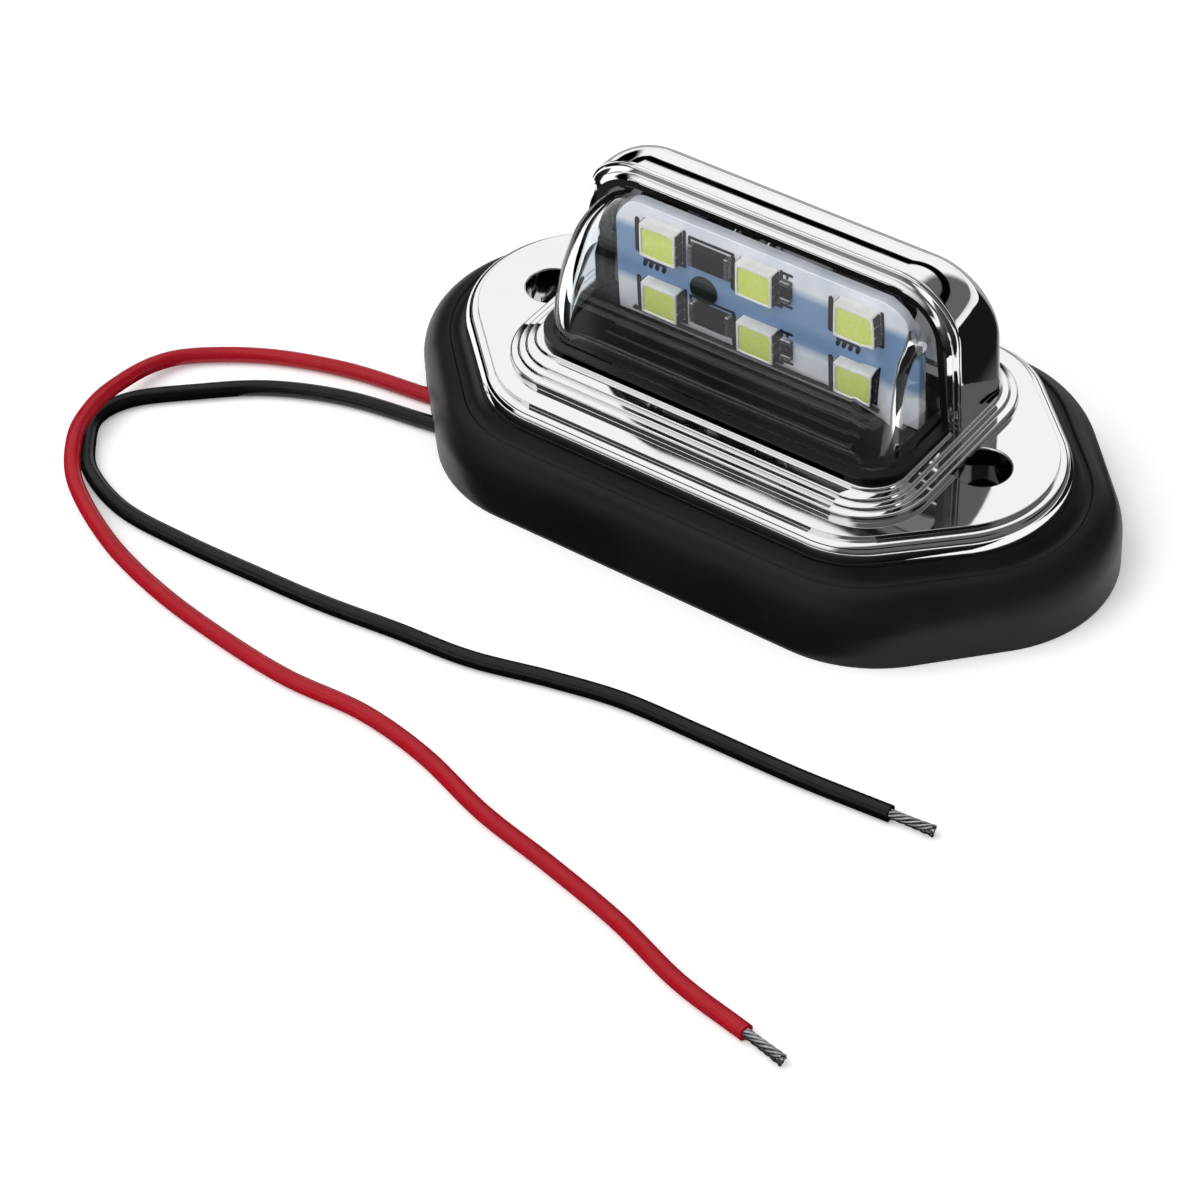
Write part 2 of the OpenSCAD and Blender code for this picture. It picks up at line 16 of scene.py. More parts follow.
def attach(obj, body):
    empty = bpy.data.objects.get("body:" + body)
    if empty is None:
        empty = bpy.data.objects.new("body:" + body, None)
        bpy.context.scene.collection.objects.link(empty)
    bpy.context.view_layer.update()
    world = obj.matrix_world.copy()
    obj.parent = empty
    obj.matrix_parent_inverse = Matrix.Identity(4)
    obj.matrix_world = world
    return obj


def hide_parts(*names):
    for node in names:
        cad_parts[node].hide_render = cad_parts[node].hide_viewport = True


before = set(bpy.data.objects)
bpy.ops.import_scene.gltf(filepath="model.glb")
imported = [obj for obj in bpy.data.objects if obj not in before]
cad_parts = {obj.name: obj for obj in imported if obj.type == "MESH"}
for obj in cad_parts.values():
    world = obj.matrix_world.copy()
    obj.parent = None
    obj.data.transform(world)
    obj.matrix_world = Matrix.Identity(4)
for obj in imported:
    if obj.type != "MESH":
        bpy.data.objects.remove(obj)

bl_info = {
    "name": "Number Plate Lamp",
    "version": (1, 0, 0),
    "blender": (4, 5, 0),
    "location": "3D View > Sidebar > Lamp",
    "description": "Makes a chrome number plate lamp on a rubber pad, with its diodes and leads",
    "category": "Object",
}

MM = 0.001


def linear(code):
    """The linear colour of an sRGB hex value."""
    parts = np.array([int(code[i : i + 2], 16) for i in (0, 2, 4)]) / 255
    low = parts <= 0.04045
    return tuple(np.where(low, parts / 12.92, ((parts + 0.055) / 1.055) ** 2.4))


def length(label, says, mm):
    """A length property whose default is given in millimetres."""
    return FloatProperty(name=label, description=says, default=mm * MM, unit="LENGTH", precision=5)


def colour(label, says, code):
    """A colour property whose default is given as an sRGB hex value."""
    return FloatVectorProperty(
        name=label, description=says, default=linear(code), subtype="COLOR", size=3, min=0, max=1
    )


# The settings that a user would change


class PadSizes(PropertyGroup):
    """Sizes of the rubber pad."""

    length: length("Length", "Length of the pad at its foot", 103)
    width: length("Width", "Width of the pad at its foot", 56.2)
    tip_r: length("End radius", "Radius of the two pointed ends", 18.5)
    corner_r: length("Corner radius", "Radius of the four corners of the long sides", 20)
    side: length("Side", "Distance between the corner centres of a long side", 46.2)
    height: length("Height", "Height of the seat that the housing stands on", 11.7)
    skirt: length("Skirt", "Height of the upright skirt below the shoulder", 4.8)
    ridge: length("Ridge", "Height of the soft ridge above the shoulder", 10.3)


class HousingSizes(PropertyGroup):
    """Sizes of the chrome housing."""

    flange_length: length("Flange length", "Length of the flange's flat top", 85.4)
    flange_width: length("Flange width", "Width of the flange's flat top", 42.6)
    flange_tip_r: length("Flange end radius", "Radius of the flange's two ends", 14.1)
    flange_corner_r: length("Flange corner radius", "Radius of the flange's corners", 11.9)
    flange_side: length("Flange side", "Distance between the corner centres of a side", 43.4)
    flange_height: length("Flange height", "Height of the flange above the pad", 3.5)
    rim: length("Rim", "How far the rolled rim stands out from the flat top", 1.9)
    rim_groove: length("Rim groove", "Width of the groove inside the rolled rim", 0.5)
    wall: length("Wall", "Thickness of the moulding", 2)
    plinth_length: length("Plinth length", "Length of the stepped plinth at its foot", 63)
    plinth_width: length("Plinth width", "Width of the stepped plinth at its foot", 36.6)
    plinth_r: length("Plinth corner radius", "Corner radius of the plinth", 9)
    plinth_height: length("Plinth height", "Height of the plinth above the flange", 2.5)
    first_riser: length("First riser", "Height of the plinth's first, tall step", 1)
    steps: IntProperty(name="Low steps", description="Low steps above the first", default=3, min=1, max=4)
    tread: length("Tread", "Width of one step of the plinth", 1.05)
    deck_edge: length("Deck edge", "Width of the flat round the raised middle of the deck", 1.85)
    deck_end: length("Deck end", "Width of the same flat at the deck's two ends", 1.05)
    hood_length: length("Hood length", "Length of the hood at its top", 57)
    hood_height: length("Hood height", "Height of the hood above the flange", 24.1)
    hood_depth: length("Hood depth", "Depth of the hood from its mouth to its back", 12.4)
    mouth: length("Mouth", "Where the mouth of the hood stands along Y", 0.8)
    hood_r: length("Hood corner radius", "Radius of the hood's two top corners", 8.5)
    back_r: length("Hood back radius", "Radius from the hood's top into its back", 9.8)
    collar: length("Collar", "Depth of the stepped collar round the mouth", 1.4)
    draft: FloatProperty(name="Draft", description="Sideways slope of the hood's ends", default=0.03)
    screw_spacing: length("Screw spacing", "Distance between the two screw holes", 67.4)
    well: length("Well", "Diameter of the well for the screw's head", 7.3)
    hole: length("Hole", "Diameter of the screw hole", 4.6)


class LensSizes(PropertyGroup):
    """Sizes of the clear lens and its seal."""

    reach: length("Reach", "How far the lens bulges out of the mouth", 13.2)
    upright: length("Upright", "Height of the lens's upright front above the deck", 2.4)
    wall: length("Wall", "Thickness of the lens", 1.8)
    corner_r: length("Corner radius", "Corner radius of the lens seen from above", 5)
    draft: FloatProperty(
        name="Draft", description="Sideways slope of the mouth, the seal and the lens", default=0.08,
    )
    lap: length("Lap", "How far the lens reaches into the hood", 1.7)
    seal: length("Seal", "Width of the black seal round the lens", 1.2)
    seal_height: length("Seal height", "Height of the seal round the lens's foot", 0.8)
    sheet: length("Sheet", "Thickness of the seal's sheet below the lens", 0.4)


class BoardSizes(PropertyGroup):
    """Sizes of the circuit board and of what it carries."""

    width: length("Width", "Width of the circuit board", 45.2)
    height: length("Height", "Height of the circuit board", 17.8)
    corner_r: length("Corner radius", "Radius of the board's upper corners", 4)
    thickness: length("Thickness", "Thickness of the circuit board", 1.6)
    pitch: length("Pitch", "Distance between two diodes of a row", 15)
    row_pitch: length("Row pitch", "Distance between the two rows of diodes", 9.2)
    row_low: length("Lower row", "Height of the lower row above the board's foot", 4.7)
    package: length("Diode width", "Width of a diode's package", 5.6)
    package_height: length("Diode height", "Height of a diode's package", 5)
    package_depth: length("Diode depth", "Thickness of a diode's package", 1.6)


class LeadSizes(PropertyGroup):
    """Sizes of the two leads."""

    diameter: length("Diameter", "Diameter of each lead", 2.2)
    strip: length("Strip", "Length of each stripped tip", 6)
    strands: length("Strands", "Diameter of the tinned strands", 1.3)
    twist: FloatProperty(name="Twist", description="Turns of the strands in a tip", default=0.9)


class StageSettings(PropertyGroup):
    """The camera's place, and the light."""

    azimuth: FloatProperty(
        name="Azimuth", description="Camera's turn round the lamp", subtype="ANGLE",
        default=math.radians(38.41),
    )
    elevation: FloatProperty(
        name="Elevation", description="Camera's angle above the floor", subtype="ANGLE",
        default=math.radians(42.56),
    )
    roll: FloatProperty(
        name="Roll", description="Camera's turn about its own axis", subtype="ANGLE",
        default=math.radians(-3.36),
    )
    distance: length("Distance", "Camera's distance from the origin", 559.1)
    aside: length("Aside", "How far right of the origin the camera aims", -21.62)
    above: length("Above", "How far above the origin the camera aims", -18.13)
    focal: FloatProperty(name="Focal length", description="In millimetres", default=127.2)
    world: FloatProperty(name="World", description="Strength of the plain light", default=0.62)
    key: FloatProperty(name="Key", description="Strength of the large lamp, in watts", default=5.5)


class LampColours(PropertyGroup):
    """Colours of the finishes."""

    chrome: colour("Chrome", "Bright chromium on moulded plastic", "e6e8ea")
    rubber: colour("Rubber", "Moulded pad rubber", "121011")
    bloom: colour("Bloom", "Grey bloom on the pad rubber", "2b292a")
    seal: colour("Seal", "Black seal rubber", "0a0a0b")
    lens: colour("Lens", "Clear polycarbonate", "f4f8fb")
    mask: colour("Mask", "White solder mask", "f3f4f8")
    # Board: painted shade, the blue-grey painted into the white mask between the rows of diodes where the
    # board lies in shade
    board: colour("Board", "Laminate where the mask is thin", "829fc4")
    ink: colour("Ink", "Printed marks", "10141c")
    package: colour("Package", "Diode package", "ecebe4")
    phosphor: colour("Phosphor", "Diode window", "d9e85a")
    specks: colour("Specks", "Settled specks in a diode window", "e9edb4")
    chip: colour("Chip", "Glazed resistor", "090a0c")
    rivet: colour("Rivet", "Moulded nylon", "1a241e")
    # Diode lead: painted shade and painted reflection, a dark brown for the shaded sides of the diodes and
    # the dark surroundings their leads mirror
    lead: colour("Diode lead", "Plating gone brown", "2a241e")
    resin: colour("Resin", "Cast potting", "131316")
    red: colour("Red", "Red insulation", "b0061e")
    black: colour("Black", "Black insulation", "0b0b0c")
    tin: colour("Tin", "Tinned copper and solder", "c9cbcd")
    dull_tin: colour("Dull tin", "Dull patches on the tinned copper", "8e9093")
    floor: colour("Floor", "Pale floor", "fdfdfd")


GROUPS = {
    "lamp_pad": PadSizes,
    "lamp_housing": HousingSizes,
    "lamp_lens": LensSizes,
    "lamp_board": BoardSizes,
    "lamp_leads": LeadSizes,
    "lamp_stage": StageSettings,
    "lamp_colours": LampColours,
}


def settings(name):
    """The scene's own copy of one group of settings."""
    return getattr(bpy.context.scene, name)


# Outlines and surfaces


def around(circles, per_arc):
    """Points round the hull of circles, given counter-clockwise as (..., count, [x, y, radius]).

    Along circle k the outward angle t runs evenly from the normal of the tangent that comes in
    to that of the tangent that leaves, and a point is centre + radius * (cos t, sin t). The
    tangent from a circle of radius r to the next, of radius s, at distance d has its normal
    turned back from the line of centres by arccos((r - s) / d).
    """
    here = np.asarray(circles, float)
    there = np.roll(here, -1, axis=-2)
    step = there - here
    gap = np.hypot(step[..., 0], step[..., 1])
    ahead = np.arctan2(step[..., 1], step[..., 0])
    leave = ahead - np.arccos(np.clip(-step[..., 2] / gap, -1, 1))
    enter = np.roll(leave, 1, axis=-1)
    turn = (leave - enter) % math.tau
    t = enter[..., None] + turn[..., None] * np.linspace(0, 1, per_arc)
    x = here[..., 0, None] + here[..., 2, None] * np.cos(t)
    y = here[..., 1, None] + here[..., 2, None] * np.sin(t)
    return np.stack([x, y], -1).reshape(*here.shape[:-2], -1, 2)


def hexagon(long, wide, side, tip_r, corner_r):
    """The circles of an outline with two pointed ends and two straight sides."""
    tip, low = long / 2 - tip_r, wide / 2 - corner_r
    return np.array([
        (tip, 0, tip_r), (side / 2, low, corner_r), (-side / 2, low, corner_r),
        (-tip, 0, tip_r), (-side / 2, -low, corner_r), (side / 2, -low, corner_r),
    ])


def rounded(x0, x1, y0, y1, r):
    """The circles of a rectangle with round corners."""
    return np.array([
        (x1 - r, y0 + r, r), (x1 - r, y1 - r, r), (x0 + r, y1 - r, r), (x0 + r, y0 + r, r),
    ])


def oblong(middle, half, r):
    """The same for a rectangle given by its middle and its half sizes."""
    (x, y), (w, h) = middle, half
    return rounded(x - w, x + w, y - h, y + h, r)


def grown(circles, by):
    """Circles with their radii grown by each amount in by: (count, 3) gives (len(by), count, 3)."""
    rings = np.repeat(circles[None], len(by), axis=0)
    rings[..., 2] = np.maximum(rings[..., 2] + np.asarray(by)[:, None], 1e-6)
    return rings


def lift(outlines, heights):
    """Outlines in the plane raised to their heights: a grid of points."""
    z = np.broadcast_to(np.asarray(heights)[:, None, None], (*outlines.shape[:2], 1))
    return np.concatenate([outlines, z], -1)


def arc(cx, cz, r, start, end, count):
    """Points on an arc as (count, 2), with its angles in degrees."""
    t = np.radians(np.linspace(start, end, count))
    return np.stack([cx + r * np.cos(t), cz + r * np.sin(t)], -1)


def skin(name, grid, closed=True):
    """A mesh object over a grid of points (rows, columns, 3), with its rows closed into rings
    and its two ends filled, or left open as a sheet."""
    rows, cols = grid.shape[:2]
    index = np.arange(rows * cols).reshape(rows, cols)
    last = None if closed else -1
    a = index[:-1, :last]
    b = np.roll(index, -1, axis=1)[:-1, :last]
    c = np.roll(index, -1, axis=1)[1:, :last]
    d = index[1:, :last]
    faces = np.stack([a, b, c, d], -1).reshape(-1, 4).tolist()
    if closed:
        faces += [index[0, ::-1].tolist(), index[-1].tolist()]
    mesh = bpy.data.meshes.new(name)
    mesh.from_pydata(grid.reshape(-1, 3).tolist(), [], faces)
    return shown(name, mesh)


def shown(name, mesh):
    """An object for a mesh, linked to the scene."""
    made = bpy.data.objects.new(name, mesh)
    bpy.context.scene.collection.objects.link(made)
    return made


def joined(name, parts):
    """One object from several mesh objects."""
    base, points, faces = 0, [], []
    for part in parts:
        mesh = part.data
        co = np.zeros(len(mesh.vertices) * 3)
        mesh.vertices.foreach_get("co", co)
        points.append(co.reshape(-1, 3))
        faces += [[base + i for i in face.vertices] for face in mesh.polygons]
        base += len(mesh.vertices)
        bpy.data.objects.remove(part)
    mesh = bpy.data.meshes.new(name)
    mesh.from_pydata(np.vstack(points).tolist(), [], faces)
    return shown(name, mesh)


def prism(name, outline, low, high):
    """A closed upright form over an outline of points, between two heights."""
    return skin(name, lift(np.repeat(outline[None], 2, 0), (low, high)))


def flat(name, x0, x1, y0, y1, z):
    """A level rectangle that faces up."""
    return skin(name, np.array([[(x, y, z) for x in (x0, x1)] for y in (y0, y1)]), closed=False)


def discs(centre, radii, sides):
    """Circles about a centre in the plane, one for each radius."""
    t = np.linspace(0, math.tau, sides, endpoint=False)
    ring = np.stack([np.cos(t), np.sin(t)], -1)
    return ring[None] * radii[:, None, None] + centre


def arches(name, y, half, top, r, foot, draft, x_in=0, z_in=0, per_arc=20):
    """A closed form through arches across the lamp, one for each y: up one end, round both top
    corners and down the other end. Each is drawn in by x_in at its ends and z_in at its top,
    and its ends lean out by draft for each metre below its top."""
    y, x_in, z_in = np.broadcast_arrays(np.asarray(y, float), x_in, z_in)
    t = np.radians(np.linspace(0, 90, per_arc))
    peak = (top - z_in)[:, None]
    side = (half - x_in)[:, None]
    right_z = peak - r + r * np.sin(t)
    right_x = side - r + r * np.cos(t) + draft * (peak - right_z)
    low_x = side + draft * (peak - foot)
    low_z = np.full_like(low_x, foot)
    x = np.concatenate([low_x, right_x, -right_x[:, ::-1], -low_x], 1)
    z = np.concatenate([low_z, right_z, right_z[:, ::-1], low_z], 1)
    grid = np.stack([x, np.broadcast_to(y[:, None], x.shape), z], -1)
    return skin(name, grid[:, ::-1])


def round_bar(name, place, way, radius, long, sides=48):
    """A closed cylinder from a place along a way, for cutting holes and adding bosses."""
    way = np.asarray(way, float)
    other = np.array([0.0, 0, 1]) if abs(way[2]) < 0.5 else np.array([1.0, 0, 0])
    u = np.cross(other, way)
    v = np.cross(way, u)
    t = np.linspace(0, math.tau, sides, endpoint=False)[:, None]
    ring = radius * (np.cos(t) * u + np.sin(t) * v)
    start = np.asarray(place, float)
    return skin(name, np.stack([start + ring, start + way * long + ring]))


def block(name, low, high):
    """A closed box between two corners, for cutting slots."""
    (x0, y0, z0), (x1, y1, z1) = low, high
    ring = [(x0, y0), (x1, y0), (x1, y1), (x0, y1)]
    return skin(name, np.array([[(x, y, z) for x, y in ring] for z in (z0, z1)]))


def fitted(base, *steps):
    """Unites tools with a piece, or cuts them out of it, in order, and removes the tools.

    Each step is "UNION" or "DIFFERENCE" and a list of closed mesh objects.
    """
    for operation, tools in steps:
        for tool in tools:
            change = base.modifiers.new(tool.name, "BOOLEAN")
            change.operation = operation
            change.solver = "MANIFOLD"
            change.object = tool
    graph = bpy.context.evaluated_depsgraph_get()
    mesh = bpy.data.meshes.new_from_object(base.evaluated_get(graph))
    mesh.name = base.name
    base.modifiers.clear()
    base.data = mesh
    for operation, tools in steps:
        for tool in tools:
            bpy.data.objects.remove(tool)


def smooth(piece, angle=34):
    """Smooth shading with crisp edges past an angle, and normals that favour the flat faces."""
    piece.data.shade_smooth()
    piece.data.set_sharp_from_angle(angle=math.radians(angle))
    keep = piece.modifiers.new("Weighted normals", "WEIGHTED_NORMAL")
    keep.mode = "FACE_AREA"
    keep.weight = 60
    keep.keep_sharp = True
    return piece


def placed(piece, slot, material, *nodes):
    """Gives a piece its finish and its body, and hides the CAD nodes it stands for. The slot is not used.
    """
    piece.data.materials.clear()
    piece.data.materials.append(material)
    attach(piece, "root")
    if nodes:
        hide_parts(*nodes)
    return piece


def unmirrored(*pieces):
    """Leaves pieces out of what the chrome mirrors, so that it shows the plain studio."""
    for piece in pieces:
        piece.visible_glossy = False


# Finishes


def add(tree, kind, inputs=None, **values):
    """Adds a node with its own values, and sets or links its inputs by name or number."""
    made = tree.nodes.new(kind)
    for key, value in values.items():
        setattr(made, key, value)
    for key, value in (inputs or {}).items():
        if isinstance(value, bpy.types.NodeSocket):
            tree.links.new(value, made.inputs[key])
        else:
            made.inputs[key].default_value = value
    return made


def new_material(name):
    """An empty node material, its tree, and its object coordinates."""
    material = bpy.data.materials.new(name)
    material.use_nodes = True
    tree = material.node_tree
    tree.nodes.clear()
    return material, tree, add(tree, "ShaderNodeTexCoord").outputs["Object"]


def finish(material, tree, inputs):
    """Ends a material in one Principled shader."""
    shader = add(tree, "ShaderNodeBsdfPrincipled", inputs)
    add(tree, "ShaderNodeOutputMaterial", {"Surface": shader.outputs[0]})
    return material


def paint(name, share=1.0):
    """One of the colour settings as four numbers, darkened to a share of itself."""
    return (*(share * part for part in getattr(settings("lamp_colours"), name)), 1)


def patches(tree, place, scale, detail, *spans):
    """Soft patches of noise with a scale to the metre: their value, and for each span of (low,
    high, start, end) that value carried from low and high to start and end."""
    noise = {"Vector": place, "Scale": scale, "Detail": detail}
    value = add(tree, "ShaderNodeTexNoise", noise).outputs[0]
    return [value] + [
        add(tree, "ShaderNodeMapRange", {0: value, 1: low, 2: high, 3: start, 4: end}).outputs[0]
        for low, high, start, end in spans
    ]


def relief(tree, place, scale, detail, strength, depth):
    """The normal of a relief of noise, with a scale to the metre and a depth in metres."""
    height = patches(tree, place, scale, detail)[0]
    return add(
        tree, "ShaderNodeBump", {"Height": height, "Strength": strength, "Distance": depth},
    ).outputs[0]


def chrome_plated_abs():
    """Bright chromium on moulded ABS: a mirror whose plane parts waver a little where the
    moulding sank, about 12 mm apart, with faint haze in patches where it has been handled."""
    material, tree, place = new_material("chrome_plated_abs")
    return finish(material, tree, {
        "Base Color": paint("chrome"), "Metallic": 1.0,
        "Roughness": patches(tree, place, 160.0, 5.0, (0.4, 0.75, 0.035, 0.085))[1],
        "Normal": relief(tree, place, 85.0, 1.0, 1.0, 0.00004),
    })


def moulded_rubber():
    """EPDM rubber out of a blasted mould: satin black with a wide soft shine, a fine grain of
    0.3 mm, drawn twice as coarse as it is so that it shows, and a faint grey bloom."""
    material, tree, place = new_material("moulded_epdm_rubber")
    spans = ((0.35, 0.8, 0.0, 0.3), (0.3, 0.8, 0.34, 0.46))
    spread, rough = patches(tree, place, 60.0, 5.0, *spans)[1:]
    tone = add(tree, "ShaderNodeMix", {0: spread, 6: paint("rubber"), 7: paint("bloom")}, data_type="RGBA")
    return finish(material, tree, {
        "Base Color": tone.outputs[2], "Roughness": rough, "IOR": 1.5, "Specular IOR Level": 0.2,
        "Normal": relief(tree, place, 3300.0, 3.0, 0.5, 0.00002),
    })


def seal_rubber():
    """Extruded seal rubber: deep black, with a soft shine and a fine unevenness."""
    material, tree, place = new_material("extruded_seal_rubber")
    return finish(material, tree, {
        "Base Color": paint("seal"), "Roughness": 0.3, "IOR": 1.5, "Specular IOR Level": 0.45,
        "Normal": relief(tree, place, 1400.0, 4.0, 0.5, 0.00003),
    })


def clear_polycarbonate():
    """Injection moulded polycarbonate under a hard coat: water clear and glossy, with slow flow
    ripples about 9 mm apart that bend what is seen through it. The coat halves what it mirrors,
    so that the board shows. Light for the lamp's inside passes unbent."""
    material, tree, place = new_material("moulded_polycarbonate")
    glass = add(tree, "ShaderNodeBsdfPrincipled", {
        "Base Color": paint("lens"), "Transmission Weight": 1.0, "Roughness": 0.015, "IOR": 1.58,
        "Specular Tint": (0.42, 0.42, 0.44, 1), "Normal": relief(tree, place, 110.0, 1.5, 1.0, 0.00005),
    })
    passed = add(tree, "ShaderNodeBsdfTransparent")
    light = add(tree, "ShaderNodeLightPath").outputs
    either = add(tree, "ShaderNodeMath", {
        0: light["Is Shadow Ray"], 1: light["Is Diffuse Ray"],
    }, operation="MAXIMUM")
    mixed = add(tree, "ShaderNodeMixShader", {
        0: either.outputs[0], 1: glass.outputs[0], 2: passed.outputs[0],
    })
    add(tree, "ShaderNodeOutputMaterial", {"Surface": mixed.outputs[0]})
    return material


def white_solder_mask():
    """Screened solder mask over woven glass laminate: a cool white with a soft gloss, and the weave's 0.5
    mm squares just showing as a faint relief. Between the two rows of diodes a blue-grey band is painted
    into the white: painted shade, the cool shade that falls on the board under the hood."""
    material, tree, place = new_material("screened_solder_mask")
    weave = add(tree, "ShaderNodeTexChecker", {"Vector": place, "Scale": 2000.0}).outputs[1]
    bump = add(tree, "ShaderNodeBump", {"Height": weave, "Strength": 0.3, "Distance": 0.00001})
    shade = patches(tree, place, 260.0, 4.0, (0.3, 0.7, 0.0, 0.22))[1]
    height = add(tree, "ShaderNodeSeparateXYZ", {0: place}).outputs["Z"]
    foot, soft, thin = diode_places()[3][1] + MM, 0.7 * MM, 1.0
    # painted shade: a soft band between the two rows of diodes takes the blue-grey board colour in place of
    # the white mask
    for z, start, end in ((foot, 0.0, 1.0), (foot + 8.6 * MM, 1.0, 0.0)):
        edge = add(tree, "ShaderNodeMapRange", {0: height, 1: z - soft, 2: z + soft, 3: start, 4: end})
        thin = add(tree, "ShaderNodeMath", {0: thin, 1: edge.outputs[0]}, operation="MULTIPLY").outputs[0]
    under = add(tree, "ShaderNodeMix", {0: thin, 6: paint("mask"), 7: paint("board")}, data_type="RGBA")
    tone = add(tree, "ShaderNodeMix", {
        0: shade, 6: under.outputs[2], 7: paint("board", 0.8),
    }, data_type="RGBA")
    return finish(material, tree, {
        "Base Color": tone.outputs[2], "Roughness": 0.38, "Normal": bump.outputs[0],
        "Coat Weight": 0.3, "Coat Roughness": 0.12,
    })


def plain_finish(name, shade, rough, scale, depth, coat=0.0, spread=0.15, specular=0.3):
    """A cast or moulded finish of one colour: its tone varies a little in patches, and a relief
    of the given depth in metres has scale bumps to the metre."""
    material, tree, place = new_material(name)
    spans = ((0.3, 0.7, 0.0, 1.0), (0.3, 0.7, 0.85 * rough, 1.2 * rough))
    share, dull = patches(tree, place, scale / 6, 4.0, *spans)[1:]
    tone = add(tree, "ShaderNodeMix", {
        0: share, 6: paint(shade), 7: paint(shade, 1 - spread),
    }, data_type="RGBA")
    return finish(material, tree, {
        "Base Color": tone.outputs[2], "Roughness": dull,
        "Normal": relief(tree, place, scale, 3.0, 0.6, depth),
        "Coat Weight": coat, "Coat Roughness": 0.06, "Specular IOR Level": specular,
    })


def screened_ink():
    """Epoxy ink printed through a screen: dull blue-black with a slightly broken edge."""
    return plain_finish("screened_ink", "ink", 0.55, 9000.0, 0.00001)


def package_moulding():
    """Polyphthalamide moulding: a dense chalky white that shows off the window in it."""
    return plain_finish("moulded_ppa", "package", 0.5, 4200.0, 0.00001)


def cast_phosphor():
    """Phosphor powder in cast silicone: lime yellow with fine settled specks under clear gel."""
    material, tree, place = new_material("cast_phosphor_silicone")
    pale = patches(tree, place, 2600.0, 4.0, (0.35, 0.72, 0.0, 0.55))[1]
    tone = add(tree, "ShaderNodeMix", {0: pale, 6: paint("phosphor"), 7: paint("specks")}, data_type="RGBA")
    return finish(material, tree, {
        "Base Color": tone.outputs[2], "Roughness": 0.4, "Coat Weight": 0.8, "Coat Roughness": 0.05,
        "Subsurface Weight": 0.15, "Subsurface Scale": 0.0006,
    })


def glazed_chip():
    """Fired overglaze on a thick film resistor: black and smooth."""
    return plain_finish("fired_overglaze", "chip", 0.4, 2400.0, 0.00001, specular=0.1)


def lead_plating_painted_shade():
    """Thin silver plating over copper on the diodes' leads, coloured dull, dark and faintly warm brown:
    painted shade and painted reflection, for the shaded sides of the packages and the dark surroundings
    that the leads mirror. Cloudy patches about half a millimetre wide."""
    return plain_finish("aged_silver_plating", "lead", 0.5, 2000.0, 0.00001, specular=0.15)


def moulded_nylon():
    """Moulded nylon: dark green-black with a waxy shine."""
    return plain_finish("moulded_nylon", "rivet", 0.5, 900.0, 0.0001, 0.0, 0.5)


def cast_resin():
    """Poured epoxy: black, glossy, and slightly wavy where it shrank as it set."""
    return plain_finish("cast_epoxy_resin", "resin", 0.16, 260.0, 0.0003, 0.5)


def soft_solder():
    """Reflowed solder: bright grey metal that crawled as it cooled, with a dull bloom."""
    material, tree, place = new_material("reflowed_solder")
    crawl, rough = patches(tree, place, 1500.0, 3.0, (0.3, 0.7, 0.18, 0.38))
    bump = add(tree, "ShaderNodeBump", {"Height": crawl, "Strength": 0.5, "Distance": 0.00006})
    return finish(material, tree, {
        "Base Color": paint("tin"), "Metallic": 1.0, "Roughness": rough, "Normal": bump.outputs[0],
    })


def tinned_copper():
    """Tinned copper strands: white metal, drawn along their length, with solder between them."""
    material, tree, place = new_material("tinned_copper")
    drawn, rough = patches(tree, place, 2600.0, 4.0, (0.3, 0.7, 0.2, 0.42))
    tone = add(tree, "ShaderNodeMix", {0: drawn, 6: paint("tin"), 7: paint("dull_tin")}, data_type="RGBA")
    return finish(material, tree, {"Base Color": tone.outputs[2], "Metallic": 1.0, "Roughness": rough})


def extruded_pvc(shade):
    """Extruded wire insulation: a smooth skin with faint die lines along it, a slow waver of
    its surface every 6 mm, and a gloss that dulls in scuffed patches."""
    material, tree, place = new_material("extruded_pvc_" + shade)
    along = add(tree, "ShaderNodeUVMap", uv_map="Along").outputs[0]
    lines = add(tree, "ShaderNodeMapping", {"Vector": along, "Scale": (60.0, 26.0, 1.0)}).outputs[0]
    scuff, worn = patches(tree, place, 170.0, 5.0, (0.4, 0.75, 0.22, 0.42))
    tone = add(tree, "ShaderNodeMix", {0: scuff, 6: paint(shade), 7: paint(shade, 0.72)}, data_type="RGBA")
    return finish(material, tree, {
        "Base Color": tone.outputs[2], "Roughness": worn, "Specular IOR Level": 0.3,
        "Normal": relief(tree, lines, 1.0, 3.0, 0.5, 0.00006),
    })


# The heights and places that the pieces share


def levels():
    """Heights above the mounting face, and places along Y, from the settings."""
    pad, house, lens = settings("lamp_pad"), settings("lamp_housing"), settings("lamp_lens")
    top = pad.height + house.flange_height
    made = {
        "seat": pad.height,
        "top": top,
        "deck": top + house.plinth_height,
        "hood": top + house.hood_height,
        "back": house.mouth + house.hood_depth,
        "board_front": house.mouth - 0.4 * MM,
        "lens_back": house.mouth + lens.lap,
        "mouth_half": house.hood_length / 2 - house.wall,
    }
    made["board_foot"] = made["deck"] - 1.5 * MM
    made["inner_back"] = made["back"] - house.wall
    made["mouth_top"] = made["hood"] - house.wall
    made["lens_half"] = made["mouth_half"] - lens.seal
    made["lens_top"] = made["mouth_top"] - lens.seal
    return made


def flange_circles():
    """The flange's flat top as circles."""
    s = settings("lamp_housing")
    return hexagon(s.flange_length, s.flange_width, s.flange_side, s.flange_tip_r, s.flange_corner_r)


def plinth_circles(inset=0.0, long=0.0):
    """The plinth's foot as circles, drawn in by an inset, with its ends moved out."""
    s = settings("lamp_housing")
    x, y = s.plinth_length / 2 - inset + long, s.plinth_width / 2 - inset
    return rounded(-x, x, -y, y, s.plinth_r - inset)


# Leads: each route's points are those of the construction, in metres

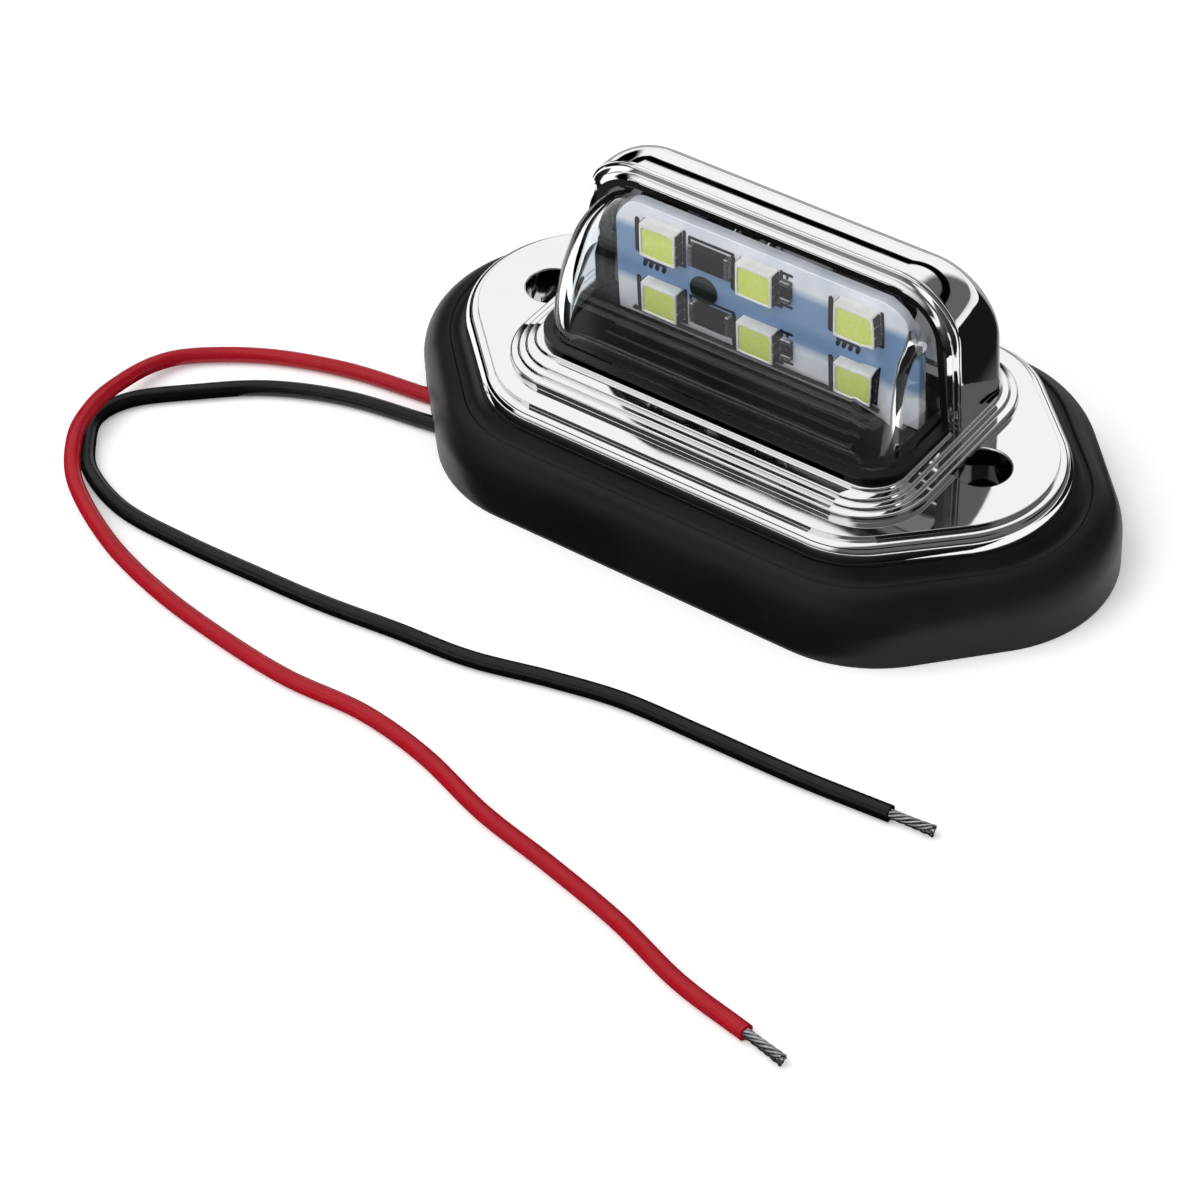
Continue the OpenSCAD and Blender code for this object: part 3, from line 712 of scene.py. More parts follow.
RED_ROUTE = np.array([
    (-14, -8, 11.7), (-14.2, -8.2, 8.2), (-17, -9.6, 3.9), (-23, -11.6, 1.3), (-32, -13, 1.15),
    (-45.1, -14.6, 1.15), (-57, -16.2, 1.15), (-68, -19.8, 1.15), (-76.5, -25.3, 1.3),
    (-79.6, -30.6, 2), (-79.9, -38, 3.2), (-79.2, -43.8, 3.6), (-76.9, -49.6, 3.6),
    (-71.9, -55.3, 2.3), (-61.5, -60.7, 1.15), (-50, -64.4, 1.15), (-38, -66.6, 1.15),
    (-26, -67.8, 1.15), (-14, -67.4, 1.15), (-3, -69.2, 1.15), (9, -73, 1.15),
    (21, -75.5, 1.15), (33, -78.4, 1.15), (44.5, -82.2, 1.15), (55.5, -84.3, 1.15),
]) * MM
BLACK_ROUTE = np.array([
    (-10, -11, 11.7), (-10.2, -11.1, 8.2), (-13, -12.4, 3.9), (-19, -14.9, 1.4), (-28, -16.9, 1.15),
    (-41, -18.9, 1.15), (-53.7, -21, 1.15), (-64, -25.2, 1.15), (-72, -31.4, 1.15),
    (-78, -37.2, 1.15), (-79.5, -42.5, 1.15), (-77, -47.2, 1.15), (-72.6, -51.6, 1.15),
    (-64, -54.9, 1.15), (-53, -55.4, 1.15), (-42, -55.1, 1.15), (-31, -54.6, 1.15),
    (-20, -53.4, 1.15), (-9, -52.4, 1.15), (2, -49.7, 1.15), (12, -47.8, 1.15),
    (24, -47.3, 1.15), (37, -46.9, 1.15), (50, -45.9, 1.15),
]) * MM


def curve_through(points, per_span=12):
    """A smooth curve through points: on each span the cubic whose end slopes are half the
    distance between the two neighbours of each end point."""
    ends = np.vstack([2 * points[0] - points[1], points, 2 * points[-1] - points[-2]])
    slope = (ends[2:] - ends[:-2]) / 2
    t = np.linspace(0, 1, per_span, endpoint=False)[None, :, None]
    p, q = points[:-1, None], points[1:, None]
    m, n = slope[:-1, None], slope[1:, None]
    spans = (
        (2 * t**3 - 3 * t**2 + 1) * p + (t**3 - 2 * t**2 + t) * m
        + (3 * t**2 - 2 * t**3) * q + (t**3 - t**2) * n
    )
    return np.vstack([spans.reshape(-1, 3), points[-1:]])


def path_frames(path):
    """Two directions square to a path at each of its points, one of them kept level."""
    way = np.gradient(path, axis=0)
    way /= np.linalg.norm(way, axis=1, keepdims=True)
    level = np.cross(way, (0, 0, 1))
    size = np.linalg.norm(level, axis=1, keepdims=True)
    level = np.where(size > 0.2, level / np.maximum(size, 1e-9), (0, 1, 0))
    level -= way * (level * way).sum(1, keepdims=True)
    level /= np.linalg.norm(level, axis=1, keepdims=True)
    return level, np.cross(level, way)


def tube_rings(path, radius, sides):
    """Rings round a path: path point + radius * (cos v * level + sin v * up)."""
    level, up = path_frames(path)
    v = np.linspace(0, math.tau, sides, endpoint=False)[None, :, None]
    return path[:, None] + radius * (np.cos(v) * level[:, None] + np.sin(v) * up[:, None])


def along_map(piece, path, sides):
    """A UV map whose U is the distance along the path in decimetres, and V the turn round it."""
    run = np.concatenate([[0], np.cumsum(np.linalg.norm(np.diff(path, axis=0), axis=1))])
    mesh = piece.data
    corner = np.zeros(len(mesh.loops), np.int32)
    mesh.loops.foreach_get("vertex_index", corner)
    row, col = corner // sides, corner % sides
    quads = (len(path) - 1) * sides * 4
    seam = np.zeros(len(corner), bool)
    first = np.arange(quads) // 4 % sides == sides - 1
    seam[:quads] = first & (col[:quads] == 0)
    uv = np.stack([run[row] * 10, (col + seam * sides) / sides], -1)
    mesh.uv_layers.new(name="Along").data.foreach_set("uv", uv.ravel())


def strand_bundle(name, end, before, leads):
    """Seven tinned strands: one in the middle and six round it, each a tube along a helix of
    the given turns, which opens a little towards the cut end."""
    way = (end - before) * (1, 1, 0)
    way /= np.linalg.norm(way)
    across = np.cross(way, (0, 0, 1))
    strand_r, hidden, flare, uneven = leads.strands / 6, 0.25, 0.35, 0.02
    s = np.linspace(-hidden, 1, 26)
    parts = []
    for k in range(7):
        off = 0 if k == 0 else leads.strands / 2 - strand_r
        turn = math.tau * (k / 6 + leads.twist * s)
        spread = off * (1 + flare * np.clip(s, 0, 1) ** 3)
        reach = s * leads.strip * (1 - uneven * (k % 3))
        path = end + reach[:, None] * way + spread[:, None] * (
            np.cos(turn)[:, None] * across + np.sin(turn)[:, None] * (0, 0, 1)
        )
        parts.append(skin(name, tube_rings(path, strand_r, 10)))
    return joined(name, parts)


class LAMP_OT_leads(Operator):
    """Make the two leads and their stripped tips"""

    bl_idname = "lamp.leads"
    bl_label = "Leads"

    def execute(self, context):
        leads, tin, sides = settings("lamp_leads"), tinned_copper(), 28
        for shade, route in (("red", RED_ROUTE), ("black", BLACK_ROUTE)):
            path = curve_through(route)
            path[:, 2] = np.maximum(path[:, 2], leads.diameter / 2)
            lead = skin(f"{shade}_insulation", tube_rings(path, leads.diameter / 2, sides))
            along_map(lead, path, sides)
            placed(smooth(lead, 50), f"{shade}_pvc", extruded_pvc(shade), f"{shade}_lead")
            tip = strand_bundle(f"{shade}_strands", route[-1], route[-2], leads)
            placed(smooth(tip, 50), "tinned_copper", tin, f"{shade}_lead_tip")
            unmirrored(lead, tip)
        return {"FINISHED"}


class LAMP_OT_rubber_pad(Operator):
    """Make the rubber pad"""

    bl_idname = "lamp.rubber_pad"
    bl_label = "Rubber pad"

    def execute(self, context):
        pad, house = settings("lamp_pad"), settings("lamp_housing")
        foot = hexagon(pad.length, pad.width, pad.side, pad.tip_r, pad.corner_r)
        rim = grown(flange_circles(), [house.rim])[0]
        share, height = self.profile(pad)
        circles = foot * (1 - share[:, None, None]) + rim * share[:, None, None]
        piece = skin("pad_moulding", lift(around(circles, 24), height))
        half_long, half_wide, window_r = 25 * MM, 15 * MM, 6 * MM
        window = rounded(-half_long, half_long, -half_wide, half_wide, window_r)
        tools = [prism("window", around(window, 12), -MM, pad.height + MM)]
        hole_r, recess_r, recess_deep = 2.6 * MM, 5.4 * MM, 2.7 * MM
        for side in (-1, 1):
            x = side * house.screw_spacing / 2
            tools += [
                round_bar("hole", (x, 0, -MM), (0, 0, 1), hole_r, pad.height + 2 * MM),
                round_bar("recess", (x, 0, pad.height - recess_deep), (0, 0, 1), recess_r, 4 * MM),
            ]
        # a point of each lead's groove, in millimetres, and the way out in degrees
        for x, y, heading in ((-38, -13.8, 187), (-34, -17.8, 189)):
            tools.append(self.groove(x * MM, y * MM, math.radians(heading)))
        fitted(piece, ("DIFFERENCE", tools))
        placed(smooth(piece), "pad_rubber", moulded_rubber(), "rubber_pad")
        return {"FINISHED"}

    def profile(self, pad):
        """The pad's section: how far it has gone from its foot (0) to the rim (1), and its
        height. An upright skirt, a quarter ellipse as the shoulder, a small round ridge
        (half a sine wave over a parabola that falls), and a cove that runs up to the seat as
        the power 2.2 of the way in."""
        shoulder_end, ridge_end, cove_end = 0.56, 0.66, 0.99
        bead, dip = 0.12 * MM, 0.2 * MM
        t = np.radians(np.linspace(0, 78, 16))
        shoulder = shoulder_end * (1 - np.cos(t)) / (1 - math.cos(t[-1]))
        up = pad.skirt + (pad.ridge - pad.skirt) * np.sin(t) / math.sin(t[-1])
        s = np.linspace(0, 1, 9)[1:]
        ridge = shoulder_end + (ridge_end - shoulder_end) * s
        over = pad.ridge + bead * np.sin(math.pi * s) - dip * s**2
        c = np.linspace(0, 1, 14)[1:]
        cove = ridge_end + (cove_end - ridge_end) * c
        rise = pad.ridge - dip + (pad.height - pad.ridge + dip) * c**2.2
        share = np.concatenate([[0.012, 0.004, 0.0, 0.0], shoulder, ridge, cove])
        height = np.concatenate([[0, 0.12 * MM, 0.4 * MM, 2.4 * MM], up, over, rise])
        return share, height

    def groove(self, x, y, heading):
        """A tool for one lead's groove through a point, from inside the window out past the
        pad's foot."""
        half, deep, start, end = 1.5 * MM, 2.7 * MM, -20 * MM, 40 * MM
        corners = np.array([(start, -half), (end, -half), (end, half), (start, half)])
        c, s = math.cos(heading), math.sin(heading)
        return prism("groove", corners @ np.array([(c, s), (-s, c)]) + (x, y), -MM, deep)


class LAMP_OT_housing(Operator):
    """Make the chrome housing"""

    bl_idname = "lamp.housing"
    bl_label = "Housing"

    def execute(self, context):
        house, board, at = settings("lamp_housing"), settings("lamp_board"), levels()
        base = self.base(house, at)
        hood = self.hood(house, at)
        slot_half = board.width / 2 + MM
        hollows = [
            self.hollow(house, at),
            block(
                "slot", (-slot_half, at["board_front"] - 2 * MM, at["top"] - house.wall - MM),
                (slot_half, at["inner_back"] - 0.5 * MM, at["deck"] + MM),
            ),
            prism(
                "below", around(plinth_circles(house.wall + 0.5 * MM), 16),
                at["seat"] - MM, at["deck"] - house.wall,
            ),
        ]
        boss_r, boss_foot, stud_r = 5.2 * MM, at["seat"] - 2.5 * MM, 3 * MM
        bosses, wells, holes = [], [], []
        for side in (-1, 1):
            x = side * house.screw_spacing / 2
            bosses.append(
                round_bar("boss", (x, 0, boss_foot), (0, 0, 1), boss_r, at["top"] - boss_foot - MM)
            )
            wells.append(self.well(x, house, at))
            holes.append(round_bar("hole", (x, 0, 0), (0, 0, 1), house.hole / 2, at["top"]))
        x, z = rivet_place()
        stud_foot = at["board_front"] + board.thickness
        stud = round_bar("stud", (x, stud_foot, z), (0, 1, 0), stud_r, at["inner_back"] + MM - stud_foot)
        fitted(
            base, ("UNION", [hood]), ("DIFFERENCE", hollows), ("UNION", [*bosses, stud]),
            ("DIFFERENCE", wells + holes),
        )
        placed(smooth(base, 30), "chrome_abs", chrome_plated_abs(), "housing")
        return {"FINISHED"}

    def base(self, house, at):
        """Flange and plinth: rings that grow and shrink from the flat top's outline by a
        profile. The rim is a quarter ellipse, and a low step leads up from it to the flat top."""
        t = np.radians(np.linspace(0, 90, 20))
        ledge, deep, hollow, nose = house.rim_groove + 0.15 * MM, 0.62 * MM, 0.04 * MM, 0.07 * MM
        rim_x = ledge + (house.rim - ledge) * np.cos(t)
        rim_z = -deep - (house.flange_height - 0.4 * MM - deep) * (1 - np.sin(t))
        foot = arc(hollow, hollow - deep, hollow, 270, 180, 5)
        head = arc(-nose, -nose, nose, 0, 90, 6)
        grow = np.concatenate([[house.rim - 0.1 * MM, house.rim], rim_x, foot[:, 0], head[:, 0]])
        drop = np.concatenate([
            [-house.flange_height, 0.1 * MM - house.flange_height], rim_z, foot[:, 1], head[:, 1],
        ])
        flange = lift(around(grown(flange_circles(), grow), 24), at["top"] + drop)
        inset, rise, long = self.steps(house)
        rings = np.stack([plinth_circles(a, b) for a, b in zip(inset, long)])
        plinth = np.roll(lift(around(rings, 36), at["top"] + rise), -24, axis=1)
        return skin("lamp_housing", np.concatenate([flange, plinth]))

    def steps(self, house):
        """The plinth's section: for each step a small hollow, a riser and a round nose. The
        first riser is upright and the low ones lean."""
        low = (house.plinth_height - house.first_riser) / house.steps
        inset, rise, long = [], [], []
        for k in range(house.steps + 1):
            last = k == house.steps
            x = k * house.tread + (house.deck_edge - house.tread if last else 0)
            z0 = house.first_riser + (k - 1) * low if k else 0
            z1 = house.first_riser + k * low
            hollow, nose = (0.06 * MM, 0.24 * MM) if k == 0 else (0.14 * MM, 0.2 * MM)
            lean, back = (0, 0) if k == 0 else (12, 0.048 * MM)
            foot = arc(x - hollow, z0 + hollow, hollow, 270, 360 - lean, 5)
            head = arc(x + nose + back, z1 - nose, nose, 180 - lean, 90, 8)
            inset += [foot[:, 0], head[:, 0]]
            rise += [foot[:, 1], head[:, 1]]
            ends = house.deck_edge - house.deck_end if last else 0.0
            long += [np.full(len(foot) + len(head), ends)]
        return np.concatenate(inset), np.concatenate(rise), np.concatenate(long)

    def hood(self, house, at):
        """The hood's outside: a stepped collar round its mouth, shallower at the ends, then
        straight back, and then a quarter circle of the back radius that draws the top in, and
        a smaller one for the ends."""
        # the collar's section, in millimetres: how far behind the mouth, and how far drawn in
        collar = 1.4 * MM
        lean = [(0, 1.84), (0.13, 1.62), (0.26, 1.41), (0.38, 1.22)]
        dip = [(0.46, 1.06), (0.56, 1.1), (0.68, 1.12), (0.78, 1.08)]
        first = [(0.82, 1.0), (0.98, 0.64), (1.03, 0.52), (1.08, 0.43), (1.15, 0.37)]
        second = [(1.22, 0.36), (1.28, 0.32), (1.32, 0.2), (1.35, 0.1), (1.41, 0.03), (1.52, 0)]
        behind, drawn = np.array(lean + dip + first + second).T * MM
        front = house.mouth + behind * (house.collar / collar)
        turn = np.radians(np.linspace(0, 90, 30))
        back_y = at["back"] - house.back_r + house.back_r * np.sin(turn)
        back_z = house.back_r * (1 - np.cos(turn))
        end_r, shallower = 2.5 * MM, 0.6
        near = np.clip((back_y - at["back"] + end_r) / end_r, 0, 1)
        back_x = end_r * (1 - np.sqrt(np.maximum(0, 1 - near**2)))
        return arches(
            "hood", np.concatenate([front, back_y]), house.hood_length / 2, at["hood"], house.hood_r,
            at["top"] - MM, house.draft, np.concatenate([shallower * drawn, back_x]),
            np.concatenate([drawn, back_z]),
        )

    def hollow(self, house, at):
        """The hood's inside, a wall's thickness within its outside."""
        r = house.back_r - house.wall
        turn = np.radians(np.linspace(0, 90, 12))
        y = np.concatenate([[house.mouth - MM], at["inner_back"] - r + r * np.sin(turn)])
        return arches(
            "inside", y, at["mouth_half"], at["mouth_top"], house.hood_r - house.wall, at["deck"],
            settings("lamp_lens").draft, 0, np.concatenate([[0], r * (1 - np.cos(turn))]),
        )

    def well(self, x, house, at):
        """A tool for one screw well: a round pocket whose rim is broken by a small radius."""
        r, edge = house.well / 2, 0.25 * MM
        lip = arc(r + edge, at["top"] - edge, edge, 180, 90, 6)
        rad = np.concatenate([[r], lip[:, 0], [r + 2 * edge]])
        z = np.concatenate([[at["top"] - 4 * MM], lip[:, 1], [at["top"] + edge]])
        return skin("well", lift(discs((x, 0), rad, 64), z))


def lens_grid(inset, foot, back, per_arc=18, rows=34):
    """The lens as closed rings at rising heights, all drawn in by an inset.

    The front stands upright to a low height and is then a quarter of an ellipse, up and back
    to the mouth. The ends are upright and then a quarter circle at the top. The two plan
    corners are quarter circles no larger than the lens is deep at that height.
    """
    house, lens, at = settings("lamp_housing"), settings("lamp_lens"), levels()
    low = at["deck"] + lens.upright
    top = at["lens_top"] - inset
    half = at["lens_half"] - inset
    corner, least = max(MM, house.hood_r - house.wall - lens.seal - inset), 0.3 * MM
    z = np.concatenate([[foot], low + (top - low) * np.sin(np.radians(np.linspace(0, 90, rows)))])
    up = np.clip((z - low) / (top - low), 0, 1)
    reach = lens.reach - inset
    front = house.mouth - reach * np.sqrt(1 - up**2)
    over = np.clip(z - top + corner, 0, corner)
    wide = half - corner + np.sqrt(corner**2 - over**2) + lens.draft * (top - z)
    r = np.clip(house.mouth - front + least, least, lens.corner_r - inset)
    t = np.radians(np.linspace(0, 90, per_arc))[None]
    x = (wide - r)[:, None] + r[:, None] * np.sin(t)
    y = (front + r)[:, None] - r[:, None] * np.cos(t)
    x = np.concatenate([-x[:, ::-1], x, wide[:, None], -wide[:, None]], 1)
    y = np.concatenate([y[:, ::-1], y, np.full((len(z), 2), back)], 1)
    return np.stack([x, y, np.broadcast_to(z[:, None], x.shape)], -1)


class LAMP_OT_lens(Operator):
    """Make the clear lens"""

    bl_idname = "lamp.lens"
    bl_label = "Lens"

    def execute(self, context):
        lens, at = settings("lamp_lens"), levels()
        outer = skin("lens_moulding", lens_grid(0, at["deck"] + lens.sheet, at["lens_back"]))
        inner = skin("inner", lens_grid(lens.wall, at["deck"] - MM, at["lens_back"] + MM))
        fitted(outer, ("DIFFERENCE", [inner]))
        placed(smooth(outer, 40), "clear_lens", clear_polycarbonate(), "lens")
        unmirrored(outer)
        return {"FINISHED"}


class LAMP_OT_lens_seal(Operator):
    """Make the seal round the lens"""

    bl_idname = "lamp.lens_seal"
    bl_label = "Lens seal"

    def execute(self, context):
        house, lens, at = settings("lamp_housing"), settings("lamp_lens"), levels()
        deck, back, front, room = at["deck"], at["lens_back"], house.mouth + 0.35 * MM, 0.05 * MM
        r = house.hood_r - house.wall
        arch = arches(
            "seal_strip", [front, back], at["mouth_half"], at["mouth_top"], r, deck, lens.draft,
        )
        gap = arches(
            "gap", [front - MM, back + MM], at["lens_half"] + room, at["lens_top"] + room,
            r - lens.seal + room, deck - MM, lens.draft,
        )
        fitted(arch, ("DIFFERENCE", [gap]))
        ring = lens_grid(-lens.seal, deck, front)[0, :, :2]
        hole = lens_grid(0, deck, front + MM)[0, :, :2]
        foot = prism("seal_foot", ring, deck, deck + lens.seal_height)
        fitted(foot, ("DIFFERENCE", [prism("cut", hole, deck - MM, deck + 2 * MM)]))
        ring = lens_grid(-lens.seal, deck, back)[0, :, :2]
        sheet = prism("seal_sheet", ring, deck, deck + lens.sheet)
        half = settings("lamp_board").width / 2 + 1.1 * MM
        slot = block(
            "slot", (-half, at["board_front"] - 2.2 * MM, deck - MM), (half, at["back"], at["hood"]),
        )
        fitted(sheet, ("DIFFERENCE", [slot]))
        piece = joined("lens_gasket", [arch, foot, sheet, *self.ribs(lens, at)])
        placed(smooth(piece), "seal_rubber", seal_rubber(), "lens_seal")
        return {"FINISHED"}

    def ribs(self, lens, at):
        """Round-topped ribs on the sheet under the lens, parallel to the board."""
        count, half_wide, high, sunk = 5, 0.35 * MM, 0.22 * MM, 0.02 * MM
        half = at["lens_half"] - lens.wall - 4 * MM
        first = settings("lamp_housing").mouth - lens.reach + lens.wall + 1.4 * MM
        pitch = (at["board_front"] - first) / count
        t = np.radians(np.linspace(0, 180, 9))
        z = at["deck"] + lens.sheet - sunk + high * np.sin(t)
        made = []
        for k in range(count):
            y = first + (k + 0.5) * pitch + half_wide * np.cos(t)
            ends = [np.stack([np.full(len(t), x), y, z], -1) for x in (-half, half)]
            made.append(skin("rib", np.stack(ends)))
        return made


def on_board(outlines, depths):
    """Outlines in the board's plane, as x and z, stood up in front of its face by depths."""
    front = levels()["board_front"]
    y = np.broadcast_to(front - np.asarray(depths)[:, None], outlines.shape[:2])
    return np.stack([outlines[..., 0], y, outlines[..., 1]], -1)


def raised(name, circles, grow, depths, per_arc=8):
    """A closed form on the board's face: the hull of some circles, grown at each depth."""
    return skin(name, on_board(around(grown(circles, grow), per_arc), depths))


def diode_places():
    """The middles of the six diodes, upper row first, as x and z."""
    board, at = settings("lamp_board"), levels()
    low = at["board_foot"] + board.row_low
    return [(k * board.pitch, z) for z in (low + board.row_pitch, low) for k in (-1, 0, 1)]


def rivet_place():
    """The middle of the rivet, as x and z."""
    board, at = settings("lamp_board"), levels()
    return -board.pitch / 2 - 1.25 * MM, at["board_foot"] + board.row_low + 3.8 * MM


class LAMP_OT_circuit_board(Operator):
    """Make the circuit board and its printed marks"""

    bl_idname = "lamp.circuit_board"
    bl_label = "Circuit board"

    def execute(self, context):
        board, at = settings("lamp_board"), levels()
        half, foot, top = board.width / 2, at["board_foot"], at["board_foot"] + board.height
        foot_r, edge, hole_r = 0.3 * MM, 0.12 * MM, 1.3 * MM
        circles = rounded(-half, half, foot, top, foot_r)
        for k, side in ((1, 1), (2, -1)):
            circles[k] = (side * (half - board.corner_r), top - board.corner_r, board.corner_r)
        plate = raised(
            "board_laminate", circles, [-edge, 0, 0, -edge],
            [-board.thickness, -board.thickness + edge, -edge, 0], 14,
        )
        x, z = rivet_place()
        hole = round_bar("hole", (x, at["board_front"] - MM, z), (0, 1, 0), hole_r, 4 * MM)
        fitted(plate, ("DIFFERENCE", [hole]))
        placed(smooth(plate), "board_mask", white_solder_mask(), "circuit_board")
        marks = joined("board_marks", [self.stroke(*line) for line in self.marks(board)])
        placed(marks, "resistor_body", screened_ink())
        unmirrored(plate, marks)
        return {"FINISHED"}

    def stroke(self, x0, z0, x1, z1, wide):
        """One printed line with round ends, a twentieth of a millimetre proud of the board."""
        circles, edge, proud = np.array([(x0, z0, wide / 2), (x1, z1, wide / 2)]), 0.02 * MM, 0.05 * MM
        return raised("stroke", circles, [0, 0, -edge], [-edge, proud - edge, proud], 7)

    def marks(self, board):
        """The printed lines, each from one place to another and of a width: brackets beside
        each diode, plain blocks below two of them, a mark at each end of the small resistors
        and a box round the long ones. The brackets stand clear of what the diode hides from
        the front."""
        lines, thin = [], 0.4 * MM
        places = diode_places()
        for k, (x, z) in enumerate(places):
            left, right = x - board.package / 2 - 1.35 * MM, x + board.package / 2 + 0.5 * MM
            top = z + board.package_height / 2
            foot = z - board.package_height / 2 - 0.6 * MM
            step = foot + 0.3 * MM
            lines += [
                (left, foot, left, top - 0.9 * MM, 0.75 * MM),
                (left, foot, left + 0.9 * MM, foot - 0.4 * MM, thin),
                (right, step, right, top, 0.5 * MM),
                (right, step, right - 1.9 * MM, step, 0.5 * MM),
            ]
            if k in (0, 2):
                bar = foot - 1.1 * MM
                lines.append((x - 3.1 * MM, bar, x + 0.1 * MM, bar, 0.35 * MM))
                for part in (-3.1, -2.2, -1.2, -0.1):
                    start = x + part * MM
                    lines.append((start, bar - 0.9 * MM, start + 0.2 * MM, bar - 0.2 * MM, 0.6 * MM))
        x = board.package / 2 + 1.4 * MM
        box_left, box_right, box_high = -10.9 * MM, -4.1 * MM, 2.1 * MM
        for z in (places[0][1], places[3][1]):
            for up in (-1, 1):
                end, near, edge = z + up * 2.4 * MM, z + up * 1.9 * MM, z + up * box_high
                lines += [
                    (x - 0.7 * MM, end, x + 0.7 * MM, end, thin), (x, end, x, near, thin),
                    (box_left, edge, box_right, edge, thin),
                ]
            lines += [(side, z - box_high, side, z + box_high, thin) for side in (box_left, box_right)]
        return lines


class LAMP_OT_diodes(Operator):
    """Make the six diodes"""

    bl_idname = "lamp.diodes"
    bl_label = "Diodes"

    def execute(self, context):
        board = settings("lamp_board")
        white, yellow = package_moulding(), cast_phosphor()
        w, h, d = board.package / 2, board.package_height / 2, board.package_depth
        for k, (x, z) in enumerate(diode_places(), 1):
            body = raised(
                f"diode_{k}", oblong((x, z), (w, h), 0.25 * MM),
                [0, 0, -0.06 * MM, -0.15 * MM], [0, d - 0.15 * MM, d - 0.04 * MM, d], 6,
            )
            window = rounded(
                x - w + 0.3 * MM, x + w - 0.25 * MM, z - h + 0.25 * MM, z + h - 0.4 * MM, 0.6 * MM,
            )
            pit = raised("pit", window, [-0.35 * MM, 0.02 * MM], [d / 2, d + 0.1 * MM], 6)
            fitted(body, ("DIFFERENCE", [pit]))
            placed(smooth(body), "led_package", white, f"led_{k}")
            gel = raised(
                f"diode_window_{k}", window, [-0.34 * MM, -0.12 * MM, -0.3 * MM, -MM, -1.6 * MM],
                [d / 2 + 0.01 * MM, d - 0.16 * MM, d - 0.12 * MM, d - 0.13 * MM, d - 0.135 * MM], 6,
            )
            placed(smooth(gel, 50), "led_phosphor", yellow, f"phosphor_{k}")
            unmirrored(body, gel)
        return {"FINISHED"}


class LAMP_OT_resistors(Operator):
    """Make the chip resistors and the solder lands of the board"""

    bl_idname = "lamp.resistors"
    bl_label = "Resistors and lands"

    def execute(self, context):
        black, tin = glazed_chip(), soft_solder()
        # place along the row, width, height and depth, in millimetres
        kinds = {"ballast_resistor": (-7.5, 6.3, 3.2, 0.9), "small_resistor": (4.2, 1.6, 3.2, 0.6)}
        places, board, cap = diode_places(), settings("lamp_board"), 0.7 * MM
        lands, leads = [], []
        for k, z in enumerate((places[0][1], places[3][1]), 1):
            for kind, sizes in kinds.items():
                x, wide, high, deep = (size * MM for size in sizes)
                half, middle = np.array([wide, high]) / 2, np.array([x, z])
                end = np.eye(2)[int(high > wide)]
                chip = raised(
                    f"{kind}_{k}_glaze", oblong(middle, half - end * cap, 0.08 * MM),
                    [0, 0, -0.08 * MM], [0, deep - 0.08 * MM, deep], 4,
                )
                placed(smooth(chip), "resistor_body", black, f"{kind}_{k}")
                unmirrored(chip)
                for side in (-1, 1):
                    place = middle + side * end * (half - cap / 2)
                    lands.append(raised(
                        "cap", oblong(place, half - end * (half - cap / 2), 0.15 * MM),
                        [0, 0, -0.12 * MM], [0, deep - 0.1 * MM, deep], 4,
                    ))
        for x, z in places:
            for side in (-1, 1):
                for step in (-1, 0, 1):
                    place = (x + side * (board.package / 2 + 0.05 * MM), z + step * 1.6 * MM)
                    leads.append(raised(
                        "tab", oblong(place, (0.15 * MM, 0.72 * MM), 0.1 * MM),
                        [0, -0.02 * MM, -0.04 * MM], [0, 0.1 * MM, board.package_depth - 0.25 * MM], 4,
                    ))
        unmirrored(placed(smooth(joined("solder_lands", lands)), "solder", tin))
        # the diodes' leads take a dark brown that is painted shade and painted reflection
        unmirrored(placed(smooth(joined("diode_leads", leads)), "solder", lead_plating_painted_shade()))
        return {"FINISHED"}


class LAMP_OT_rivet(Operator):
    """Make the rivet that holds the board"""

    bl_idname = "lamp.rivet"
    bl_label = "Rivet"

    def execute(self, context):
        x, z = rivet_place()
        shank, head, edge, crown = 1.1, 2.1, 0.15, 0.8
        t = np.radians(np.linspace(0, 90, 10))[:-1]
        rad = np.concatenate([[shank, shank, head], head * np.cos(t), [0.05]]) * MM
        deep = np.concatenate([[-6, 0, 0], edge + (crown - edge) * np.sin(t), [crown]]) * MM
        piece = skin("nylon_rivet", on_board(discs((x, z), rad, 48), deep))
        placed(smooth(piece), "rivet_nylon", moulded_nylon(), "board_rivet")
        return {"FINISHED"}


class LAMP_OT_carried(Operator):
    """Finish the pieces whose shape is kept: the potting, the tails and their solder"""

    bl_idname = "lamp.carried"
    bl_label = "Potting and tails"

    def execute(self, context):
        tin, pairs = soft_solder(), {"potting": cast_resin()}
        for shade in ("red", "black"):
            pairs[shade + "_tail"] = plain_finish("cut_pvc_" + shade, shade, 0.3, 900.0, 0.00002, 0.15)
            pairs[shade + "_solder"] = tin
        for name, material in pairs.items():
            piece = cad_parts[name]
            piece.data.materials.clear()
            piece.data.materials.append(material)
            unmirrored(piece)
        return {"FINISHED"}


# Stage


def posed(right, up, back, place):
    """The matrix of an object that has these three directions and this place."""
    rows = [(right[k], up[k], back[k], place[k]) for k in range(3)]
    return Matrix([*rows, (0, 0, 0, 1)])


